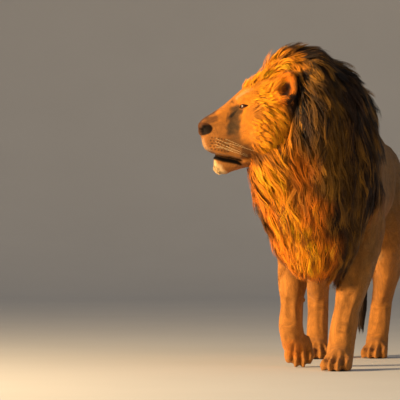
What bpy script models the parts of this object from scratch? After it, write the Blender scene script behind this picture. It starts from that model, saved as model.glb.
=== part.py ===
"""A male lion in mid-walk with its head turned to its right, life size, for Blender 4.5.

The lion walks towards -Y, its left is +X and up is +Z, in metres.
Flesh and mane are modelled whole from lofted tubes and swellings and fused by a voxel remesh.
Convex cells then part them into named pieces, with a hair-thin gap between neighbours.
"""

import math

import bmesh
import bpy
import numpy as np
from mathutils import Matrix, Vector

# ---- driving dimensions -------------------------------------------------------------------
HEAD_LENGTH = 0.40            # nose tip to the back of the skull
NOSE_HEIGHT = 0.965           # nose tip above the floor
HEAD_BASE = (-0.100, -0.800)  # back of the skull, seen from above
HEAD_TURN = math.radians(-75)  # the head's turn from straight ahead to the lion's right
EYE_RADIUS = 0.019
GAP = 0.0004                  # clearance between neighbouring pieces
SOLE_DEPTH = 0.010            # how far the floor flattens the pads
REAR_X = 0.010                # the hips' middle, which has swung to the left in this stride
PAW_CUTS = {"forepaw_left": 0.10, "forepaw_right": 0.13, "hindpaw_left": 0.09, "hindpaw_right": 0.09}
BODY_VOXEL, PAW_VOXEL, HEAD_VOXEL, MANE_VOXEL = 0.0095, 0.0055, 0.0045, 0.0130
BODY_FACES, PAW_FACES, HEAD_FACES, MANE_FACES = 2000, 185, 1340, 560

# ---- places on the head: behind the nose tip, sideways from the midline, above the nose -----
EYE = (0.178, 0.057, 0.079)
EAR = (0.331, 0.116, 0.156)
MOUTH_CORNER = (0.170, -0.1345)   # behind the nose tip, above it
LIP_START = -0.100                # height of the line between the lips, carried on to the nose
NECK_CUT = 0.370                  # where the head meets the neck, behind the nose tip

# ---- the legs' paths: x, y, z, sideways radius, fore-and-aft radius ---------------------------
LEFT_FORELEG = [
    (0.148, -0.50, 0.70, 0.074, 0.110), (0.143, -0.49, 0.58, 0.076, 0.100),
    (0.125, -0.53, 0.45, 0.074, 0.085), (0.098, -0.60, 0.33, 0.067, 0.072),
    (0.076, -0.66, 0.22, 0.059, 0.060), (0.066, -0.702, 0.13, 0.057, 0.053),
    (0.060, -0.730, 0.07, 0.057, 0.054), (0.058, -0.738, 0.02, 0.054, 0.052)]
RIGHT_FORELEG = [
    (-0.155, -0.50, 0.70, 0.070, 0.108), (-0.160, -0.47, 0.58, 0.068, 0.098),
    (-0.156, -0.47, 0.45, 0.065, 0.082), (-0.154, -0.49, 0.34, 0.060, 0.068),
    (-0.156, -0.51, 0.24, 0.054, 0.057), (-0.158, -0.527, 0.17, 0.053, 0.050),
    (-0.152, -0.520, 0.12, 0.053, 0.046), (-0.144, -0.500, 0.085, 0.050, 0.040)]
LEFT_HINDLEG = [
    (0.140, 0.42, 0.76, 0.088, 0.150), (0.160, 0.36, 0.66, 0.086, 0.142),
    (0.169, 0.32, 0.54, 0.078, 0.118), (0.164, 0.36, 0.44, 0.066, 0.092),
    (0.150, 0.43, 0.34, 0.055, 0.070), (0.131, 0.490, 0.26, 0.049, 0.058),
    (0.122, 0.495, 0.20, 0.048, 0.051), (0.114, 0.465, 0.12, 0.049, 0.047),
    (0.110, 0.440, 0.06, 0.051, 0.048), (0.109, 0.432, 0.02, 0.051, 0.048)]
RIGHT_HINDLEG = [
    (-0.095, 0.42, 0.78, 0.088, 0.150), (-0.117, 0.32, 0.66, 0.086, 0.136),
    (-0.131, 0.27, 0.54, 0.077, 0.110), (-0.136, 0.31, 0.44, 0.065, 0.087),
    (-0.137, 0.385, 0.34, 0.055, 0.068), (-0.139, 0.44, 0.265, 0.049, 0.057),
    (-0.139, 0.43, 0.20, 0.048, 0.050), (-0.138, 0.385, 0.12, 0.049, 0.047),
    (-0.137, 0.353, 0.06, 0.050, 0.048), (-0.136, 0.345, 0.02, 0.050, 0.048)]
TAIL = [
    (REAR_X, 0.60, 0.828, 0.050), (REAR_X, 0.69, 0.834, 0.036), (REAR_X, 0.755, 0.788, 0.026),
    (0.012, 0.79, 0.70, 0.020), (0.012, 0.80, 0.57, 0.0175), (0.012, 0.79, 0.44, 0.016),
    (0.012, 0.775, 0.34, 0.018), (0.013, 0.765, 0.28, 0.030), (0.014, 0.752, 0.22, 0.037),
    (0.016, 0.742, 0.155, 0.030), (0.018, 0.735, 0.110, 0.012)]


# ---- small geometry helpers ----------------------------------------------------------------
def smooth_rows(rows, steps=4):
    """Rows of numbers run through a Catmull-Rom curve, with this many steps between two rows."""
    rows = np.asarray(rows, float)
    ends = np.vstack([2 * rows[0] - rows[1], rows, 2 * rows[-1] - rows[-2]])
    share = np.arange(steps)[:, None] / steps
    out = []
    for before, start, end, after in zip(ends[:-3], ends[1:-2], ends[2:-1], ends[3:]):
        out.append(0.5 * (2 * start + (end - before) * share
                          + (2 * before - 5 * start + 4 * end - after) * share**2
                          + (3 * start - before - 3 * end + after) * share**3))
    return np.vstack(out + [rows[-1:]])


def bridge_rings(mesh, rings):
    """Adds a closed tube through rings that hold the same number of points each."""
    made = [[mesh.verts.new(point) for point in ring] for ring in rings]
    count = len(made[0])
    for near, far in zip(made, made[1:]):
        for i in range(count):
            j = (i + 1) % count
            mesh.faces.new((near[i], near[j], far[j], far[i]))
    mesh.faces.new(made[0][::-1])
    mesh.faces.new(made[-1])


def tube_along_y(mesh, stations, squareness=2.4, sides=28):
    """A tube whose stations are (y, middle x, top z, bottom z, half width)."""
    turn = np.linspace(0, 2 * math.pi, sides, endpoint=False)
    power = 2 / squareness
    across = np.sign(np.cos(turn)) * np.abs(np.cos(turn)) ** power
    upward = np.sign(np.sin(turn)) * np.abs(np.sin(turn)) ** power
    bridge_rings(mesh, [
        np.column_stack([x + half * across, np.full(sides, y),
                         (top + bottom) / 2 + (top - bottom) / 2 * upward])
        for y, x, top, bottom, half in smooth_rows(stations)])


def shaped_tube(mesh, stations):
    """A tube whose stations are (y, top z, then x and z of each point down one side, bottom z)."""
    rings = []
    for row in smooth_rows([np.hstack(station) for station in stations], 3):
        side = row[2:-1].reshape(-1, 2)
        half = np.vstack([[0, row[1]], side, [0, row[-1]]])
        loop = np.vstack([half, side[::-1] * (-1, 1), half[:2]])
        curve = smooth_rows(loop, 3)[:-4]
        rings.append(np.column_stack([curve[:, 0], np.full(len(curve), row[0]), curve[:, 1]]))
    bridge_rings(mesh, rings)


def limb(mesh, stations, sides=20):
    """A tube along a path of (x, y, z, sideways radius, fore-and-aft radius, which may be left)."""
    rows = smooth_rows(stations)
    path = rows[:, :3]
    along = np.gradient(path, axis=0)
    along /= np.linalg.norm(along, axis=1)[:, None]
    side = np.array([1.0, 0.0, 0.0]) - along * along[:, :1]
    side /= np.linalg.norm(side, axis=1)[:, None]
    fore = np.cross(along, side)
    turn = np.linspace(0, 2 * math.pi, sides, endpoint=False)[:, None]
    bridge_rings(mesh, [
        path[i] + np.cos(turn) * side[i] * rows[i, 3] + np.sin(turn) * fore[i] * rows[i, -1]
        for i in range(len(rows))])


def swelling(mesh, centre, radii, turn=(0, 0, 0), fineness=3):
    """An ellipsoid of muscle, fat or hair, turned by degrees about X, then Y, then Z."""
    spin = Matrix.Rotation(math.radians(turn[2]), 4, "Z") @ Matrix.Rotation(
        math.radians(turn[1]), 4, "Y") @ Matrix.Rotation(math.radians(turn[0]), 4, "X")
    place = Matrix.Translation(centre) @ spin @ Matrix.Diagonal((*radii, 1))
    bmesh.ops.create_icosphere(mesh, subdivisions=fineness, radius=1, matrix=place)


def both_sides(mesh, centre, radii, turn=(0, 0, 0)):
    """The same swelling left and right of the midline, x = 0."""
    x, y, z = centre
    swelling(mesh, centre, radii, turn)
    swelling(mesh, (-x, y, z), radii, (turn[0], -turn[1], -turn[2]))


def object_of(name, mesh):
    """A Blender object made from a bmesh, in the scene."""
    bmesh.ops.recalc_face_normals(mesh, faces=mesh.faces)
    data = bpy.data.meshes.new(name)
    mesh.to_mesh(data)
    mesh.free()
    made = bpy.data.objects.new(name, data)
    bpy.context.scene.collection.objects.link(made)
    return made


def apply_modifiers(thing):
    """Replaces the object's mesh by its evaluated one."""
    bpy.context.view_layer.update()
    graph = bpy.context.evaluated_depsgraph_get()
    data = bpy.data.meshes.new_from_object(thing.evaluated_get(graph))
    thing.modifiers.clear()
    thing.data = data


def fuse(thing, voxel, rounds, faces):
    """One closed surface over all of the object's tubes and swellings, smoothed and thinned out."""
    remesh = thing.modifiers.new("fuse", "REMESH")
    remesh.mode = "VOXEL"
    remesh.voxel_size = voxel
    smooth = thing.modifiers.new("smooth", "SMOOTH")
    smooth.factor, smooth.iterations = 0.5, rounds
    apply_modifiers(thing)
    keep_largest(thing)
    thin = thing.modifiers.new("thin", "DECIMATE")
    thin.ratio = faces / (2 * len(thing.data.polygons))
    apply_modifiers(thing)


def boolean(thing, other, operation):
    """thing cut by, or joined to, other. other stays as it is."""
    cut = thing.modifiers.new("cut", "BOOLEAN")
    cut.object, cut.operation, cut.solver = other, operation, "EXACT"
    apply_modifiers(thing)


def copy_of(thing, name):
    """A second object with its own mesh."""
    made = thing.copy()
    made.data = thing.data.copy()
    made.name = name
    bpy.context.scene.collection.objects.link(made)
    return made


def remove(thing):
    """Takes a helper out of the file."""
    bpy.data.objects.remove(thing)


def grown(thing, amount):
    """A copy of the object with every point moved outwards by amount."""
    made = copy_of(thing, "grown")
    normals = [vertex.normal.copy() for vertex in made.data.vertices]
    for vertex, normal in zip(made.data.vertices, normals):
        vertex.co += normal * amount
    return made


def keep_largest(thing):
    """Drops the crumbs that a cut leaves, so that the piece is one body."""
    mesh = bmesh.new()
    mesh.from_mesh(thing.data)
    left, bodies = set(mesh.verts), []
    while left:
        open_ends = [left.pop()]
        body = set(open_ends)
        while open_ends:
            here = open_ends.pop()
            near = {link.other_vert(here) for link in here.link_edges} & left
            left -= near
            body |= near
            open_ends.extend(near)
        bodies.append(body)
    biggest = max(bodies, key=len)
    bmesh.ops.delete(mesh, geom=[v for v in mesh.verts if v not in biggest], context="VERTS")
    mesh.to_mesh(thing.data)
    mesh.free()


def cell(planes, more=0.0):
    """A convex block behind planes given by a point and the outward normal, grown by more."""
    mesh = bmesh.new()
    bmesh.ops.create_cube(mesh, size=8)
    for point, normal in planes:
        normal = Vector(normal).normalized()
        cut = bmesh.ops.bisect_plane(
            mesh, geom=mesh.verts[:] + mesh.edges[:] + mesh.faces[:],
            plane_co=Vector(point) + normal * more, plane_no=normal, clear_outer=True)
        rim = [item for item in cut["geom_cut"] if isinstance(item, bmesh.types.BMEdge)]
        bmesh.ops.edgeloop_fill(mesh, edges=rim)
    return object_of("cell", mesh)


def part_off(rest, name, planes):
    """Parts what lies in a cell off rest as an object of its own, with the gap between them."""
    piece = copy_of(rest, name)
    inside, outside = cell(planes), cell(planes, GAP)
    boolean(piece, inside, "INTERSECT")
    boolean(rest, outside, "DIFFERENCE")
    remove(inside)
    remove(outside)
    keep_largest(piece)
    return piece


def head_place():
    """The matrix from the head's own frame, where its nose points along -Y, to the lion's."""
    return Matrix.Translation((*HEAD_BASE, NOSE_HEIGHT)) @ Matrix.Rotation(HEAD_TURN, 4, "Z")


def on_head(behind, sideways, above):
    """A point of the head's own frame from its distances behind, beside and above the nose tip."""
    return Vector((sideways, behind - HEAD_LENGTH, above))


def off_head(behind, sideways, above):
    """The same point in the lion's frame."""
    return head_place() @ on_head(behind, sideways, above)


# ---- trunk, legs and tail --------------------------------------------------------------------
def add_trunk(mesh):
    """Chest, belly and loins, with the rump's fall to the tail."""
    tube_along_y(mesh, [
        (-0.72, 0.000, 0.88, 0.68, 0.050), (-0.67, 0.000, 0.96, 0.59, 0.120),
        (-0.57, 0.000, 1.02, 0.52, 0.165), (-0.42, 0.000, 1.05, 0.49, 0.188),
        (-0.25, 0.000, 1.03, 0.485, 0.204), (-0.05, 0.000, 1.005, 0.50, 0.214),
        (0.15, 0.003, 0.960, 0.535, 0.214), (0.32, 0.007, 0.932, 0.585, 0.202),
        (0.46, REAR_X, 0.924, 0.64, 0.180), (0.58, REAR_X, 0.900, 0.69, 0.146),
        (0.67, REAR_X, 0.865, 0.74, 0.075)])
    swelling(mesh, (0, -0.43, 1.00), (0.09, 0.16, 0.085))           # withers
    swelling(mesh, (0, 0.10, 0.565), (0.085, 0.26, 0.065))          # belly fold


def add_neck(mesh):
    """The neck rises forwards and bends to the lion's right, into the back of the head."""
    limb(mesh, [
        (0.000, -0.50, 0.86, 0.150, 0.190), (-0.005, -0.62, 0.93, 0.138, 0.180),
        (-0.030, -0.72, 0.99, 0.125, 0.160), (-0.075, -0.79, 1.03, 0.112, 0.138),
        (-0.135, -0.822, 1.045, 0.100, 0.122)])


def add_leg_muscles(mesh):
    """Shoulders, upper arms, haunches, knees and heel bones."""
    for side in (1, -1):
        swelling(mesh, (0.125 * side, -0.50, 0.80), (0.074, 0.130, 0.215), (-14, -6 * side, 0))
        swelling(mesh, (0.142 * side, -0.57, 0.68), (0.070, 0.095, 0.125), (10, 0, 0))
        swelling(mesh, (0.148 * side, -0.43, 0.62), (0.060, 0.095, 0.130), (24, 0, 0))
    for side, knee_y in ((1, 0.265), (-1, 0.24)):
        x = 0.118 * side + REAR_X
        swelling(mesh, (x, 0.42, 0.755), (0.100, 0.180, 0.160), (-18, -5 * side, 0))
        swelling(mesh, (x + 0.010 * side, 0.43, 0.66), (0.090, 0.165, 0.165), (-30, 0, 0))
        swelling(mesh, (x + 0.020 * side, knee_y, 0.57), (0.064, 0.075, 0.095))
    swelling(mesh, (0.127, 0.525, 0.275), (0.027, 0.028, 0.050), (-20, 0, 0))
    swelling(mesh, (-0.140, 0.474, 0.290), (0.027, 0.028, 0.050), (-20, 0, 0))


def make_body():
    """Trunk, neck, legs and tail as one surface. The paws are made apart, more finely."""
    mesh = bmesh.new()
    add_trunk(mesh)
    add_neck(mesh)
    add_leg_muscles(mesh)
    for leg in (LEFT_FORELEG, RIGHT_FORELEG, LEFT_HINDLEG, RIGHT_HINDLEG):
        limb(mesh, leg)
    limb(mesh, TAIL, sides=12)
    body = object_of("body", mesh)
    fuse(body, BODY_VOXEL, 6, BODY_FACES)
    return body


def make_paw(name, leg, heel, heading, pitch, size):
    """A pad with four toes at the end of a leg, cut off above and flattened by the floor below.

    heel is the middle of the pad, heading turns the paw about Z and pitch tips its toes down.
    """
    mesh = bmesh.new()
    swelling(mesh, (0, 0.004, 0.034), (0.054, 0.060, 0.036))
    swelling(mesh, (0, 0.008, 0.060), (0.046, 0.046, 0.038))
    for side, reach in ((-0.044, -0.046), (-0.0155, -0.068), (0.0155, -0.070), (0.044, -0.049)):
        swelling(mesh, (side, reach, 0.026), (0.0175, 0.034, 0.028), (8, 0, -130 * side))
        swelling(mesh, (side * 0.92, reach + 0.034, 0.044), (0.017, 0.034, 0.024), (24, 0, 0))
    place = Matrix.Translation(heel) @ Matrix.Rotation(math.radians(heading), 4, "Z")
    place = place @ Matrix.Rotation(math.radians(pitch), 4, "X") @ Matrix.Scale(size, 4)
    bmesh.ops.transform(mesh, matrix=place, verts=mesh.verts)
    limb(mesh, leg[-4:])
    paw = object_of(name, mesh)
    fuse(paw, PAW_VOXEL, 3, PAW_FACES)
    slab = cell([((0, 0, PAW_CUTS[name]), (0, 0, 1)), ((0, 0, 0), (0, 0, -1))])
    boolean(paw, slab, "INTERSECT")
    remove(slab)
    keep_largest(paw)
    return paw


# ---- head ------------------------------------------------------------------------------------
def add_skull(mesh):
    """Muzzle, face and cranium as one tube through hand-drawn sections, with small swellings.

    A section is: behind the nose tip, top, edge of the nose bridge, side, cheek, lip, palate.
    """
    sections = [
        (0.000, 0.010, (0.013, 0.007), (0.021, -0.003), (0.019, -0.014), (0.010, -0.022), -0.026),
        (0.012, 0.027, (0.023, 0.023), (0.034, 0.006), (0.031, -0.018), (0.017, -0.036), -0.040),
        (0.026, 0.038, (0.024, 0.034), (0.036, 0.012), (0.042, -0.034), (0.030, -0.068), -0.070),
        (0.042, 0.047, (0.025, 0.042), (0.037, 0.016), (0.055, -0.042), (0.042, -0.092), -0.092),
        (0.070, 0.064, (0.027, 0.058), (0.040, 0.024), (0.066, -0.048), (0.054, -0.106), -0.106),
        (0.100, 0.085, (0.029, 0.077), (0.044, 0.034), (0.070, -0.050), (0.058, -0.116), -0.114),
        (0.130, 0.110, (0.032, 0.100), (0.052, 0.046), (0.073, -0.044), (0.062, -0.122), -0.120),
        (0.160, 0.137, (0.040, 0.125), (0.064, 0.068), (0.084, -0.026), (0.068, -0.122), -0.124),
        (0.190, 0.162, (0.050, 0.147), (0.082, 0.088), (0.099, -0.012), (0.076, -0.112), -0.120),
        (0.225, 0.190, (0.058, 0.171), (0.094, 0.100), (0.111, -0.004), (0.086, -0.102), -0.110),
        (0.265, 0.213, (0.064, 0.192), (0.100, 0.112), (0.117, 0.000), (0.092, -0.096), -0.105),
        (0.310, 0.226, (0.064, 0.206), (0.100, 0.120), (0.115, 0.004), (0.090, -0.088), -0.100),
        (0.355, 0.222, (0.060, 0.203), (0.094, 0.118), (0.104, 0.010), (0.082, -0.070), -0.085),
        (0.400, 0.200, (0.050, 0.184), (0.078, 0.108), (0.086, 0.020), (0.068, -0.040), -0.055),
        (0.435, 0.160, (0.030, 0.150), (0.050, 0.100), (0.055, 0.040), (0.040, 0.000), -0.010)]
    shaped_tube(mesh, [(row[0] - HEAD_LENGTH, *row[1:]) for row in sections])
    both_sides(mesh, on_head(0.056, 0.028, -0.058), (0.030, 0.034, 0.034))               # whisker pads
    both_sides(mesh, on_head(0.186, 0.047, 0.114), (0.028, 0.050, 0.020), (42, 12, 14))  # brows
    both_sides(mesh, on_head(0.262, 0.080, -0.030), (0.042, 0.075, 0.080), (0, 0, 6))    # cheeks


def add_jaw(mesh):
    """The lower jaw from the chin to its angles, under the cheeks."""
    tube_along_y(mesh, [
        (behind - HEAD_LENGTH, 0, top, bottom, half) for behind, top, bottom, half in [
            (0.063, -0.116, -0.146, 0.018), (0.072, -0.102, -0.165, 0.033),
            (0.095, -0.100, -0.180, 0.041), (0.130, -0.098, -0.177, 0.047),
            (0.175, -0.080, -0.164, 0.058), (0.225, -0.040, -0.155, 0.074),
            (0.285, 0.000, -0.142, 0.082), (0.330, 0.000, -0.110, 0.070)]])
    swelling(mesh, on_head(0.100, 0, -0.158), (0.036, 0.037, 0.031))                      # chin


def add_ear(mesh, side):
    """A rounded ear on its base. Its bowl is cut later."""
    behind, sideways, above = EAR
    swelling(mesh, on_head(behind, sideways * side, above), (0.024, 0.052, 0.064),
             (-12, -16 * side, -26 * side))
    swelling(mesh, on_head(behind + 0.006, (sideways - 0.034) * side, above - 0.040),
             (0.036, 0.042, 0.046), (0, 0, -20 * side))


def hollow_ear(head, side):
    """Cuts the ear's bowl, which faces sideways and forwards."""
    behind, sideways, above = EAR
    mesh = bmesh.new()
    swelling(mesh, on_head(behind - 0.010, (sideways + 0.022) * side, above + 0.003),
             (0.024, 0.040, 0.050), (-12, -16 * side, -26 * side), fineness=2)
    bowl = object_of("bowl", mesh)
    boolean(head, bowl, "DIFFERENCE")
    remove(bowl)


def open_mouth(head):
    """Cuts the slit between the lips, open at the front and closing at the corner."""
    profile = [(-0.020, -0.080), (0.034, -0.093), (0.061, -0.105), (0.092, -0.115), (0.122, -0.121),
               MOUTH_CORNER, (0.122, -0.1265), (0.092, -0.1225), (0.061, -0.115), (0.034, -0.132),
               (-0.020, -0.140)]
    reach = 0.16
    mesh = bmesh.new()
    ring = [mesh.verts.new(on_head(behind, -reach, above)) for behind, above in profile]
    pushed = bmesh.ops.extrude_face_region(mesh, geom=[mesh.faces.new(ring)])["geom"]
    moved = [item for item in pushed if isinstance(item, bmesh.types.BMVert)]
    bmesh.ops.translate(mesh, verts=moved, vec=(2 * reach, 0, 0))
    slit = object_of("slit", mesh)
    boolean(head, slit, "DIFFERENCE")
    remove(slit)


def eyeball(name, side, radius):
    """A whole eyeball in the head's own frame."""
    behind, sideways, above = EYE
    mesh = bmesh.new()
    place = Matrix.Translation(on_head(behind, sideways * side, above))
    bmesh.ops.create_uvsphere(mesh, u_segments=12, v_segments=7, radius=radius, matrix=place)
    return object_of(name, mesh)


def make_head():
    """The head with its eye sockets, in the lion's frame."""
    mesh = bmesh.new()
    add_skull(mesh)
    add_jaw(mesh)
    for side in (1, -1):
        add_ear(mesh, side)
    head = object_of("head", mesh)
    fuse(head, HEAD_VOXEL, 4, HEAD_FACES)
    for side in (1, -1):
        hollow_ear(head, side)
        socket = eyeball("socket", side, EYE_RADIUS + 2 * GAP)
        boolean(head, socket, "DIFFERENCE")
        remove(socket)
    open_mouth(head)
    keep_largest(head)
    head.data.transform(head_place())
    return head


# ---- mane ------------------------------------------------------------------------------------
def add_mane(mesh):
    """The mane's whole volume, out to its hair tips: crest, ruff, neck, shoulders and bib."""
    head_turn = math.degrees(HEAD_TURN)
    for place, radii, lean in [
            ((0.300, 0.000, 0.205), (0.052, 0.085, 0.046), 36),      # hairline on the forehead
            ((0.390, 0.000, 0.190), (0.090, 0.140, 0.138), 20),      # crest between the ears
            ((0.462, 0.000, 0.070), (0.190, 0.105, 0.245), 0),       # ruff behind the ears
            ((0.350, 0.000, -0.090), (0.138, 0.110, 0.130), 0),      # cheeks
            ((0.300, 0.000, -0.165), (0.095, 0.120, 0.085), -20)]:   # throat
        swelling(mesh, off_head(*place), radii, (lean, 0, head_turn))
    swelling(mesh, (-0.015, -0.720, 1.020), (0.180, 0.190, 0.225), (-24, 0, 0))    # nape
    swelling(mesh, (-0.070, -0.800, 0.930), (0.185, 0.125, 0.220))                 # neck's left face
    swelling(mesh, (0.015, -0.530, 0.985), (0.172, 0.235, 0.195), (-16, 0, 0))     # withers
    swelling(mesh, (0.080, -0.640, 0.830), (0.122, 0.190, 0.290))                  # left shoulder
    swelling(mesh, (-0.112, -0.595, 0.830), (0.132, 0.205, 0.280))                 # right shoulder
    swelling(mesh, (-0.075, -0.765, 0.740), (0.215, 0.150, 0.250))                 # chest
    swelling(mesh, (-0.045, -0.705, 0.570), (0.178, 0.132, 0.205))                 # bib
    swelling(mesh, (-0.185, -0.845, 0.830), (0.125, 0.110, 0.160))                 # under the throat


def coarse_copy(thing, voxel, faces, clearance):
    """A plainer copy of the object that stands proud of it by about the clearance."""
    proud = grown(thing, clearance)
    fuse(proud, voxel, 2, faces)
    return proud


def make_mane(body, head):
    """The mane with the flesh inside it cut out, the head first by a plainer copy of itself."""
    mesh = bmesh.new()
    add_mane(mesh)
    mane = object_of("mane", mesh)
    fuse(mane, MANE_VOXEL, 24, MANE_FACES)
    for core in (coarse_copy(head, 0.011, 420, 0.007), grown(head, 3 * GAP),
                 grown(body, 7 * GAP), grown(body, 2 * GAP)):
        boolean(mane, core, "DIFFERENCE")
        remove(core)
    keep_largest(mane)
    return mane


# ---- parting into named pieces -------------------------------------------------------------------
def back_of_head(beyond):
    """The plane where head and neck meet, this far behind NECK_CUT. It faces backwards."""
    turned = head_place().to_3x3() @ Vector((0, 1, 0))
    return off_head(NECK_CUT + beyond, 0, 0), turned


def part_head(head):
    """Parts jaw, nose and ears off the head, which ends flat where the neck starts."""
    def direction(sideways, back, up):
        return head_place().to_3x3() @ Vector((sideways, back, up))
    slab = cell([back_of_head(0)])
    boolean(head, slab, "INTERSECT")
    remove(slab)
    fall = (LIP_START - MOUTH_CORNER[1]) / MOUTH_CORNER[0]
    made = [part_off(head, "lower_jaw", [
        (off_head(0, 0, LIP_START), direction(0, fall, 1)),
        (off_head(MOUTH_CORNER[0] + 0.045, 0, 0), direction(0, 1, 0))])]
    made.append(part_off(head, "nose", [
        (off_head(0.020, 0, 0), direction(0, 1, 0)), (off_head(0, 0, -0.036), direction(0, 0, -1))]))
    for side, name in ((1, "ear_left"), (-1, "ear_right")):
        made.append(part_off(head, name, [
            (off_head(0, 0.088 * side, 0.126), direction(-0.8 * side, 0, -0.6)),
            (off_head(0, 0.070 * side, 0), direction(-side, 0, 0)),
            (off_head(0.262, 0, 0), direction(0, -1, 0))]))
    return made + [head]


def part_leg(rest, name, slope, inner, limit, joint, paw_height):
    """Parts a leg off the trunk under a sloping plane, and cuts it at elbow or knee and paw."""
    upper = part_off(rest, name + "_upper", [slope, inner, limit])
    lower = part_off(upper, name + "_lower", [((0, 0, joint), (0, 0, 1))])
    above_paw = cell([((0, 0, paw_height + GAP), (0, 0, -1))])
    boolean(lower, above_paw, "INTERSECT")
    remove(above_paw)
    return [upper, lower]


def part_body(body):
    """Parts tail, legs and neck off the trunk, and the trunk at its waist."""
    turned, start = back_of_head(GAP)[1], back_of_head(GAP)[0]
    ahead = cell([(start, turned), ((0, 0, NOSE_HEIGHT - 0.22), (0, 0, -1))])
    boolean(body, ahead, "DIFFERENCE")
    remove(ahead)
    tail = part_off(body, "tail", [((0, 0.705, 0), (0, -1, 0))])
    made = [part_off(tail, "tail_tuft", [((0, 0, 0.335), (0, 0, 1))]), tail]
    for side, word in ((1, "left"), (-1, "right")):
        made += part_leg(
            body, "foreleg_" + word, ((0.03 * side, 0, 0.43), (-0.83 * side, 0, 0.56)),
            ((0.003 * side, 0, 0), (-side, 0, 0)), ((0, -0.28, 0), (0, 1, 0)), 0.50,
            PAW_CUTS["forepaw_" + word])
        made += part_leg(
            body, "hindleg_" + word, ((REAR_X + 0.075 * side, 0, 0.52), (-0.883 * side, 0, 0.469)),
            ((REAR_X + 0.003 * side, 0, 0), (-side, 0, 0)), ((0, 0.13, 0), (0, -1, 0)), 0.50,
            PAW_CUTS["hindpaw_" + word])
    made.append(part_off(body, "neck", [((0, -0.64, 0.93), (0.15, 0.80, -0.55))]))
    made.append(part_off(body, "trunk_rear", [((0, 0.03, 0), (0, -1, 0))]))
    body.name = "trunk_front"
    return made + [body]


def part_mane(mane):
    """Parts the mane into crown, bib and two sides. The sides meet along the bent neck."""
    made = [part_off(mane, "mane_crown", [((0, 0, 1.06), (0, 0, -1))]),
            part_off(mane, "mane_chest", [((0, 0, 0.80), (0, 0, 1)), ((0, -0.62, 0), (0, 1, 0))])]
    made.append(part_off(mane, "mane_left", [((0, -0.45, 0), (-0.91, 0.42, 0))]))
    mane.name = "mane_right"
    keep_largest(mane)
    return made + [mane]


# ---- materials and the row's frame ------------------------------------------------------------------
def paint(thing, name, colour, roughness):
    """Gives the piece a plain Principled material, shared by name."""
    material = bpy.data.materials.get(name)
    if material is None:
        material = bpy.data.materials.new(name)
        material.use_nodes = True
        shader = material.node_tree.nodes["Principled BSDF"]
        shader.inputs["Base Color"].default_value = (*colour, 1)
        shader.inputs["Roughness"].default_value = roughness
        shader.inputs["Metallic"].default_value = 0
    thing.data.materials.clear()
    thing.data.materials.append(material)


def stand_on_floor(pieces):
    """Moves every mesh so that the lion's box is centred on the origin with its base at z = 0."""
    points = np.array([vertex.co for thing in pieces for vertex in thing.data.vertices])
    low, high = points.min(axis=0), points.max(axis=0)
    shift = Vector((-(low[0] + high[0]) / 2, -(low[1] + high[1]) / 2, -low[2]))
    for thing in pieces:
        thing.data.transform(Matrix.Translation(shift))
        thing.data.name = thing.name


def main():
    for thing in list(bpy.data.objects):
        bpy.data.objects.remove(thing)
    body, head = make_body(), make_head()
    paws = [make_paw("forepaw_left", LEFT_FORELEG, (0.056, -0.772, -SOLE_DEPTH), -6, 0, 1.08),
            make_paw("forepaw_right", RIGHT_FORELEG, (-0.139, -0.452, 0.072), 14, 60, 1.02),
            make_paw("hindpaw_left", LEFT_HINDLEG, (0.108, 0.404, -SOLE_DEPTH), -4, 0, 1.0),
            make_paw("hindpaw_right", RIGHT_HINDLEG, (-0.135, 0.317, -SOLE_DEPTH), 6, 0, 1.0)]
    mane = part_mane(make_mane(body, head))
    eyes = []
    for side, name in ((1, "eye_left"), (-1, "eye_right")):
        eyes.append(eyeball(name, side, EYE_RADIUS))
        eyes[-1].data.transform(head_place())
    coat = part_head(head) + part_body(body) + paws
    for thing in coat:
        paint(thing, "coat", (0.42, 0.26, 0.12), 0.85)
    for thing in mane + [thing for thing in coat if thing.name == "tail_tuft"]:
        paint(thing, "mane", (0.16, 0.09, 0.04), 0.9)
    for thing in eyes:
        paint(thing, "eye", (0.30, 0.16, 0.03), 0.1)
    for thing in coat:
        if thing.name == "nose":
            paint(thing, "nose_leather", (0.03, 0.02, 0.018), 0.4)
    stand_on_floor(coat + mane + eyes)


main()
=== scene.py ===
# %% [markdown]
# # A maned lion in mid-walk
# The solids of the lion come from the CAD frame: flesh, mane, eyes. They give every size and
# place. This script dresses them: one skin over all the flesh, eyes with lids, the nose and
# lips, and the whole coat as real tufts of mesh. Everything is worked out with numpy from the
# frame, so that the coat still fits if the frame changes.

# %% Load the frame
import math

import bmesh
import bpy
import numpy as np
import openvdb
from mathutils import Matrix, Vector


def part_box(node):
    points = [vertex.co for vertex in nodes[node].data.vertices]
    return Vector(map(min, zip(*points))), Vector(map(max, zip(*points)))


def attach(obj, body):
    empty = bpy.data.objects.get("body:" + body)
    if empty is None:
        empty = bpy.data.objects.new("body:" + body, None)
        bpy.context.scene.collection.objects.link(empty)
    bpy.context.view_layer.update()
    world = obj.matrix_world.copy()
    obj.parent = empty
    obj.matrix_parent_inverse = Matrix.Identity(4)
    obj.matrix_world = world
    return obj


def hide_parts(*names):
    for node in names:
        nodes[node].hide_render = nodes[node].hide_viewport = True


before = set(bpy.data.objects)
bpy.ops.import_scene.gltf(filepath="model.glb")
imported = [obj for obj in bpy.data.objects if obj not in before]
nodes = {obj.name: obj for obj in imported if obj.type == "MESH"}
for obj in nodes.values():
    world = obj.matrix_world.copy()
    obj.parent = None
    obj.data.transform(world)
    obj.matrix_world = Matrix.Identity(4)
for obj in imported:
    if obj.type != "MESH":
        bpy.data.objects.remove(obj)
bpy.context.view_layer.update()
dice = np.random.default_rng(7)

# %% [markdown]
# The face is easiest to shape in the head's own directions. The two eyes tell where they lie:
# from the right eye to the left is sideways, and the nose tip is a known way ahead and below.
# So a place on the head is (behind the nose tip, sideways, above it), whichever way it is turned.


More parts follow.
